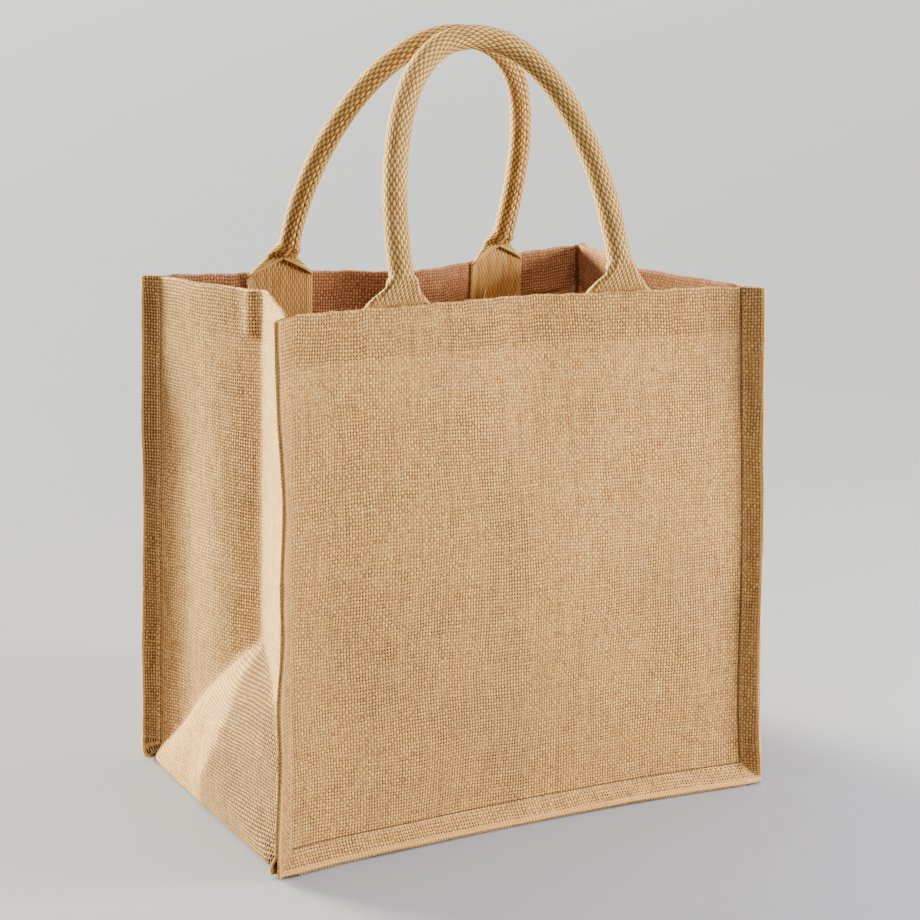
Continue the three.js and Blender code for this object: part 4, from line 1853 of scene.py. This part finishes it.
@dataclass
class StrandMesh:
    """Many short strands of thread in one mesh."""

    GUIDE: ClassVar[np.ndarray] = np.array([0.3, 0.5, 0.81])

    name: str
    sides: int
    points: list[np.ndarray] = field(default_factory=list)
    faces: list[tuple[int, ...]] = field(default_factory=list)

    def add(self, path: np.ndarray, radii: np.ndarray) -> None:
        """Add a strand.

        Args:
            path: Its centre line in millimetres.
            radii: Its radius at each point.
        """
        start = sum(len(block) for block in self.points)
        tangent = unit(np.gradient(path, axis=0))
        first = unit(np.cross(tangent, self.GUIDE))
        second = np.cross(tangent, first)
        angles = np.arange(self.sides) * 2 * math.pi / self.sides
        ring = first[:, None] * np.cos(angles)[:, None] + second[:, None] * np.sin(angles)[:, None]
        self.points.append((path[:, None] + ring * radii[:, None, None]).reshape(-1, 3))
        n = self.sides
        for row in range(len(path) - 1):
            for i in range(n):
                a, b = start + row * n + i, start + row * n + (i + 1) % n
                self.faces.append((a, b, b + n, a + n))
        self.faces.append(tuple(start + i for i in reversed(range(n))))
        self.faces.append(tuple(start + (len(path) - 1) * n + i for i in range(n)))

    def build(self) -> bpy.types.Object:
        """Make the mesh.

        Returns:
            The piece.
        """
        mesh = smooth_mesh(self.name, np.concatenate(self.points), self.faces)
        mesh.update()
        return put_in_scene(self.name, mesh)


def on_cloth(surface: Surface, q: np.ndarray, v: np.ndarray, stand: float) -> tuple[np.ndarray, np.ndarray]:
    """Points on the outer face of a cloth.

    Args:
        surface: The cloth's function of its middle points.
        q: Places across it.
        v: Places along it.
        stand: How far the points stand off the middle.

    Returns:
        The points and the outward directions.
    """
    step = 0.5
    across = surface(q + step, v) - surface(q - step, v)
    along = surface(q, v + step) - surface(q, v - step)
    normal = unit(np.cross(across, along))
    return surface(q, v) + normal * stand, normal


@dataclass(frozen=True)
class Stitching:
    """Topstitches: the rows along the fins."""

    pitch: float = 3.3
    length: float = 2.7
    radius: float = 0.36
    from_seam: float = 2.1
    slant: float = 0.5
    dive: float = 0.45
    stand: float = 0.05
    taper: tuple[float, ...] = (0.6, 0.95, 1.0, 0.95, 0.6)
    samples: int = 200

    def row(self, mesh: StrandMesh, surface: Surface, q: np.ndarray, v: np.ndarray, stand: float) -> None:
        """Add a row of stitches along a line on a cloth.

        Args:
            mesh: The mesh to add them to.
            surface: The cloth's function.
            q: Places across the cloth along the line.
            v: Places along the cloth along the line.
            stand: How far the middle of the thread stands off the middle of the cloth.
        """
        line, _ = on_cloth(surface, q, v, stand)
        way = added_up(step_lengths(line))
        shares = np.linspace(-0.5, 0.5, len(self.taper))
        slant = shares * self.slant
        along_q = abs(q[-1] - q[0]) > abs(v[-1] - v[0])
        for centre in np.arange(self.pitch / 2, way[-1] - self.pitch / 2, self.pitch):
            at = centre + shares * self.length
            sq, sv = np.interp(at, way, q), np.interp(at, way, v)
            sq, sv = (sq, sv + slant) if along_q else (sq + slant, sv)
            path, normal = on_cloth(surface, sq, sv, stand)
            path = path - normal * (self.dive * (2 * shares[:, None]) ** 2)
            mesh.add(path, self.radius * np.array(self.taper))

    def fins(self, panels: list[PanelCloth], gusset: GussetCloth) -> bpy.types.Object:
        """Rows on both faces of every fin.

        Args:
            panels: The two wide sides.
            gusset: The strip.

        Returns:
            The stitches.
        """
        mesh = StrandMesh("fin_topstitches", 6)
        shape = gusset.shape
        stand = shape.cloth / 2 + self.stand
        for panel in panels:
            up = np.linspace(3.0, shape.panel_height - 1.5, self.samples)
            for sign in (-1, 1):
                q = np.full_like(up, sign * (shape.half_cloth_width + self.from_seam))
                self.row(mesh, panel.surface, q, up, stand)
            half = shape.half_cloth_width - 2
            across = np.linspace(-half, half, self.samples)
            self.row(mesh, panel.surface, across, np.full_like(across, -self.from_seam), stand)
        rim, toe, base = gusset.rim - 1.5, gusset.toe + 2, gusset.base_half - 6
        for sign in (-1, 1):
            for ends in ((-rim, -toe), (-base, base), (toe, rim)):
                along = np.linspace(*ends, self.samples)
                q = np.full_like(along, sign * (shape.half_strip_width + self.from_seam))
                self.row(mesh, gusset.surface, q, along, stand)
        return mesh.build()


@dataclass(frozen=True)
class StrayFibres:
    """Loose hairs of jute along the rims and the cut edges of the fins."""

    seed: int = 7
    count: int = 420
    radius: float = 0.07
    taper: tuple[float, ...] = (1.0, 1.0, 0.9, 0.8, 0.4)
    rim_share: float = 0.6
    fray: float = 0.8
    shortest: float = 1.0
    curls: Pair = (0.1, 0.6)

    def build(self, panels: list[PanelCloth], gusset: GussetCloth) -> bpy.types.Object:
        """Make the hairs.

        Args:
            panels: The two wide sides.
            gusset: The strip.

        Returns:
            The hairs.
        """
        rng = np.random.default_rng(self.seed)
        mesh = StrandMesh("stray_fibres", 3)
        shape = gusset.shape
        for _ in range(self.count):
            cloth = [panels[0], panels[1], gusset][rng.integers(3)]
            is_gusset = isinstance(cloth, GussetCloth)
            half = shape.half_strip_width if is_gusset else shape.half_cloth_width
            rim = gusset.rim if is_gusset else shape.panel_height
            on_rim = rng.random() < self.rim_share
            if on_rim:
                q = rng.uniform(-half, half)
                v = rim - rng.uniform(0.0, self.fray)
            else:
                q = rng.choice([-1, 1]) * (half + shape.upright_fin - rng.uniform(0.0, self.fray))
                v = rim - rng.uniform(0.0, shape.panel_height)
            v = v * rng.choice([-1, 1]) if is_gusset else v
            start, normal = on_cloth(cloth.surface, np.array([q]), np.array([v]), shape.cloth / 2 - 0.1)
            self.hair(mesh, rng, start[0], normal[0], on_rim)
        return mesh.build()

    def hair(self, mesh: StrandMesh, rng: np.random.Generator, start: np.ndarray, normal: np.ndarray,
             on_rim: bool) -> None:
        """Add one curved hair that lies out from the cloth.

        Args:
            mesh: The mesh to add it to.
            rng: Source of its size and curl.
            start: Its foot.
            normal: The cloth's outward direction.
            on_rim: True where it stands on a rim.
        """
        size = rng.gamma(2.0, 1.3) + self.shortest
        lean = rng.normal(size=3)
        lean[2] = abs(lean[2]) if on_rim else lean[2]
        way = unit(normal * 0.7 + lean * 0.6 + np.array([0.0, 0.0, 0.5 * on_rim]))
        curl = unit(np.cross(way, rng.normal(size=3))) * rng.uniform(*self.curls)
        share = np.linspace(0.0, 1.0, len(self.taper))[:, None]
        path = start + way * share * size + curl * (share * size) ** 2 / 12
        mesh.add(path, self.radius * np.array(self.taper))


@dataclass(frozen=True)
class Studio:
    """Plain pale floor, soft lights and the camera."""

    lens: float = 87.4
    sensor: float = 36.0
    far_end: float = 200.0
    camera_place: Place = (-0.591, -1.148, 0.483)
    camera_turn: Place = (77.37, 0.0, -27.54)
    floor_size: float = 80.0
    floor_tone: float = 0.255
    floor_tint: Colour = (1.0, 0.985, 1.06)
    floor_grain: float = 1.04
    world: float = 0.12
    suns: tuple[tuple[str, Place, float, float], ...] = (
        ("key_from_back_left", (-0.415, 0.90, 0.14), 38.0, 28.0),
        ("soft_light_from_above", (0.0, -0.1, 1.0), 5.0, 70.0),
    )
    fill_place: Place = (1.0, -0.62, 0.40)
    warm: Colour = (1.0, 1.02, 0.84)
    fill_aim: Place = (0.05, -0.1, 0.15)
    fill_size: Pair = (0.4, 0.4)
    fill_power: float = 37.0

    def floor(self) -> bpy.types.Object:
        """Add the floor.

        Returns:
            The floor.
        """
        bpy.ops.object.select_all(action="DESELECT")
        bpy.ops.mesh.primitive_plane_add(size=self.floor_size, location=(0.0, 0.0, 0.0))
        piece = bpy.context.object
        piece.name = "floor"
        g = Graph("pale_floor")
        place = g.wire(g.node("ShaderNodeTexCoord"), "Object")
        noise = g.node("ShaderNodeTexNoise", None, {"Vector": place, "Scale": 3.0, "Detail": 2.0})
        tone = tuple(self.floor_tone * share for share in self.floor_tint)
        light = tuple(self.floor_grain * share for share in tone)
        g.plug(g.shader.inputs["Base Color"], g.mix(g.wire(noise, "Fac"), tone, light))
        g.shader.inputs["Roughness"].default_value = 0.9
        piece.data.materials.append(g.material)
        return piece

    def lights(self) -> None:
        """Add the world's light, the suns and the fill."""
        world = bpy.context.scene.world or bpy.data.worlds.new("studio")
        bpy.context.scene.world = world
        world.use_nodes = True
        background = world.node_tree.nodes["Background"]
        background.inputs["Color"].default_value = (1.0, 1.0, 1.0, 1.0)
        background.inputs["Strength"].default_value = self.world
        for name, towards, strength, spread in self.suns:
            sun = bpy.data.lights.new(name, "SUN")
            sun.energy = strength
            sun.color = self.warm if towards[0] < 0 else (1.0, 1.0, 1.0)
            sun.angle = math.radians(spread)
            put_in_scene(name, sun).rotation_euler = self.turn_from(np.array(towards))
        panel = bpy.data.lights.new("fill_from_front_right", "AREA")
        panel.shape = "RECTANGLE"
        panel.size, panel.size_y = self.fill_size
        panel.energy = self.fill_power
        lamp = put_in_scene(panel.name, panel)
        lamp.location = self.fill_place
        lamp.rotation_euler = self.turn_from(np.array(self.fill_place) - np.array(self.fill_aim))
        lamp.visible_camera = False

    @staticmethod
    def turn_from(towards: np.ndarray) -> tuple[float, float, float]:
        """Turn of a lamp whose light comes from that direction."""
        x, y, z = unit(towards)
        return math.acos(z), 0.0, math.atan2(x, -y)

    def camera(self) -> None:
        """Add the camera at the photograph's angle."""
        data = bpy.data.cameras.new("camera")
        data.lens = self.lens
        data.sensor_width = self.sensor
        data.clip_end = self.far_end
        camera = put_in_scene("camera", data)
        camera.location = self.camera_place
        camera.rotation_euler = tuple(math.radians(angle) for angle in self.camera_turn)
        bpy.context.scene.camera = camera


def dress(piece: bpy.types.Object, slot: Slot, *finishes: bpy.types.Material) -> None:
    """Give a piece its finishes, and let it ride with the bag.

    Args:
        piece: The piece.
        slot: Not used.
        *finishes: Its materials, in the order of its zones.
    """
    for finish in finishes:
        piece.data.materials.append(finish)
    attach(piece, "root")
    log.info("%s: %d faces", piece.name, len(piece.data.polygons))


def lay_sheet(cloth: PanelCloth | GussetCloth | HandleWebbing, node: str, name: str, held: str, slot: Slot,
              *finishes: bpy.types.Material) -> None:
    """Build a sheet in place of its solid.

    Args:
        cloth: The cloth or webbing.
        node: The solid that it replaces.
        name: Name of the piece.
        held: Not used.
        slot: Not used; it is only passed on to dress.
        *finishes: Its materials, in the order of its zones.
    """
    piece = cloth.build(name).build()
    dress(piece, slot, *finishes)
    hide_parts(node)
    cloth.flat


FRONT_PANEL = PanelForm(
    Side.FRONT, base=9, middle=0, rim=11, dip=4, dip_at=7, dip_left=25, dip_right=25, dip_fade=70,
    waves=(
        Wave(x=75, z=95, width=26, height=70, depth=2.2),
        Wave(x=20, z=160, width=60, height=60, depth=-2.5),
        Wave(x=-70, z=120, width=45, height=80, depth=-1.5),
        Wave(x=-140, z=150, width=34, height=200, depth=9),
    ),
)
BACK_PANEL = PanelForm(
    Side.BACK, base=6, middle=4, rim=8, dip=24, dip_at=6, dip_left=28, dip_right=52, dip_fade=90,
    waves=(
        Wave(x=-60, z=130, width=40, height=90, depth=2),
        Wave(x=50, z=90, width=50, height=60, depth=-2.5),
    ),
)
LEFT_FOLD = FoldForm(Flank.LEFT, depth=26.5, y=1, puff_back=0, swell=1.0)
RIGHT_FOLD = FoldForm(Flank.RIGHT, depth=21, y=-10, puff_back=6, swell=0.0)
FRONT_HANDLE = HandleForm(
    Side.FRONT, radius=6.7, tabs=(-72, 67), feet=((-71, -83), (65, -83)), leg_lean=0.34, leg_rises=(50, 58),
    apex=(-1, -31, 441), apex_turn=0.0, shoulder=50, parting=11.0,
)
BACK_HANDLE = HandleForm(
    Side.BACK, radius=6.3, tabs=(-71, 74), feet=((-68, 74), (74, 68)), leg_lean=-0.48, leg_rises=(55, 75),
    apex=(2, -4, 441), apex_turn=-0.22, shoulder=44, parting=9.0,
)


def main() -> None:
    """Build the studio, the cloths, the handles, the stitches and the fibres."""
    logging.basicConfig(level=logging.INFO, format="%(message)s")
    studio = Studio()
    studio.camera()
    studio.lights()
    studio.floor()

    shape = BagShape()
    jute = JuteFinish("jute_hessian").material()
    # A darker copy of the hessian for the inner face of the hem: painted shade for the inside of the bag.
    hem = JuteFinish("jute_hem_inside_shaded", dark=(0.23, 0.090, 0.042), middle=(0.33, 0.140, 0.063),
                     light=(0.43, 0.195, 0.090), straw=(0.54, 0.265, 0.125), hem_darkening=0.0).material()
    # The gusset's copy of the hessian: deeper painted shade in its gaps and on its fins, with lighter threads
    # that make up for it.
    gusset_jute = JuteFinish("jute_hessian_gusset_shaded", middle=(0.58, 0.295, 0.104), light=(0.78, 0.430, 0.146),
                           straw=(0.93, 0.590, 0.210), openness=1.25, thread_gap=(0.70, 1.0), fin_painted_shade=0.46,
                           hem_darkening=0.0, relief=0.0009).material()
    laminate = LaminateFinish("laminated_hessian").material()
    panels = [PanelCloth(shape, FRONT_PANEL), PanelCloth(shape, BACK_PANEL)]
    for panel, node in zip(panels, ("panel_front", "panel_back")):
        lay_sheet(panel, node, node + "_cloth", "draped", Slot.JUTE, jute, laminate, hem)
    gusset = GussetCloth(shape, (LEFT_FOLD, RIGHT_FOLD), (FRONT_PANEL, BACK_PANEL))
    lay_sheet(gusset, "gusset", "gusset_cloth", "draped", Slot.JUTE, gusset_jute, laminate, hem)

    webbing = WebbingFinish("cotton_webbing").material()
    handles = (HandleWebbing(shape, FRONT_HANDLE, FRONT_PANEL), HandleWebbing(shape, BACK_HANDLE, BACK_PANEL))
    for handle, node in zip(handles, ("handle_front", "handle_back")):
        lay_sheet(handle, node, node + "_webbing", "folded", Slot.WEBBING, webbing)

    thread = ThreadFinish("jute_thread", (0.40, 0.215, 0.075), (0.70, 0.42, 0.17)).material()
    dress(Stitching().fins(panels, gusset), Slot.JUTE, thread)
    hair = ThreadFinish("jute_hair", (0.5, 0.32, 0.16), (0.8, 0.62, 0.4)).material()
    dress(StrayFibres().build(panels, gusset), Slot.JUTE, hair)


if __name__ == "__main__":
    main()
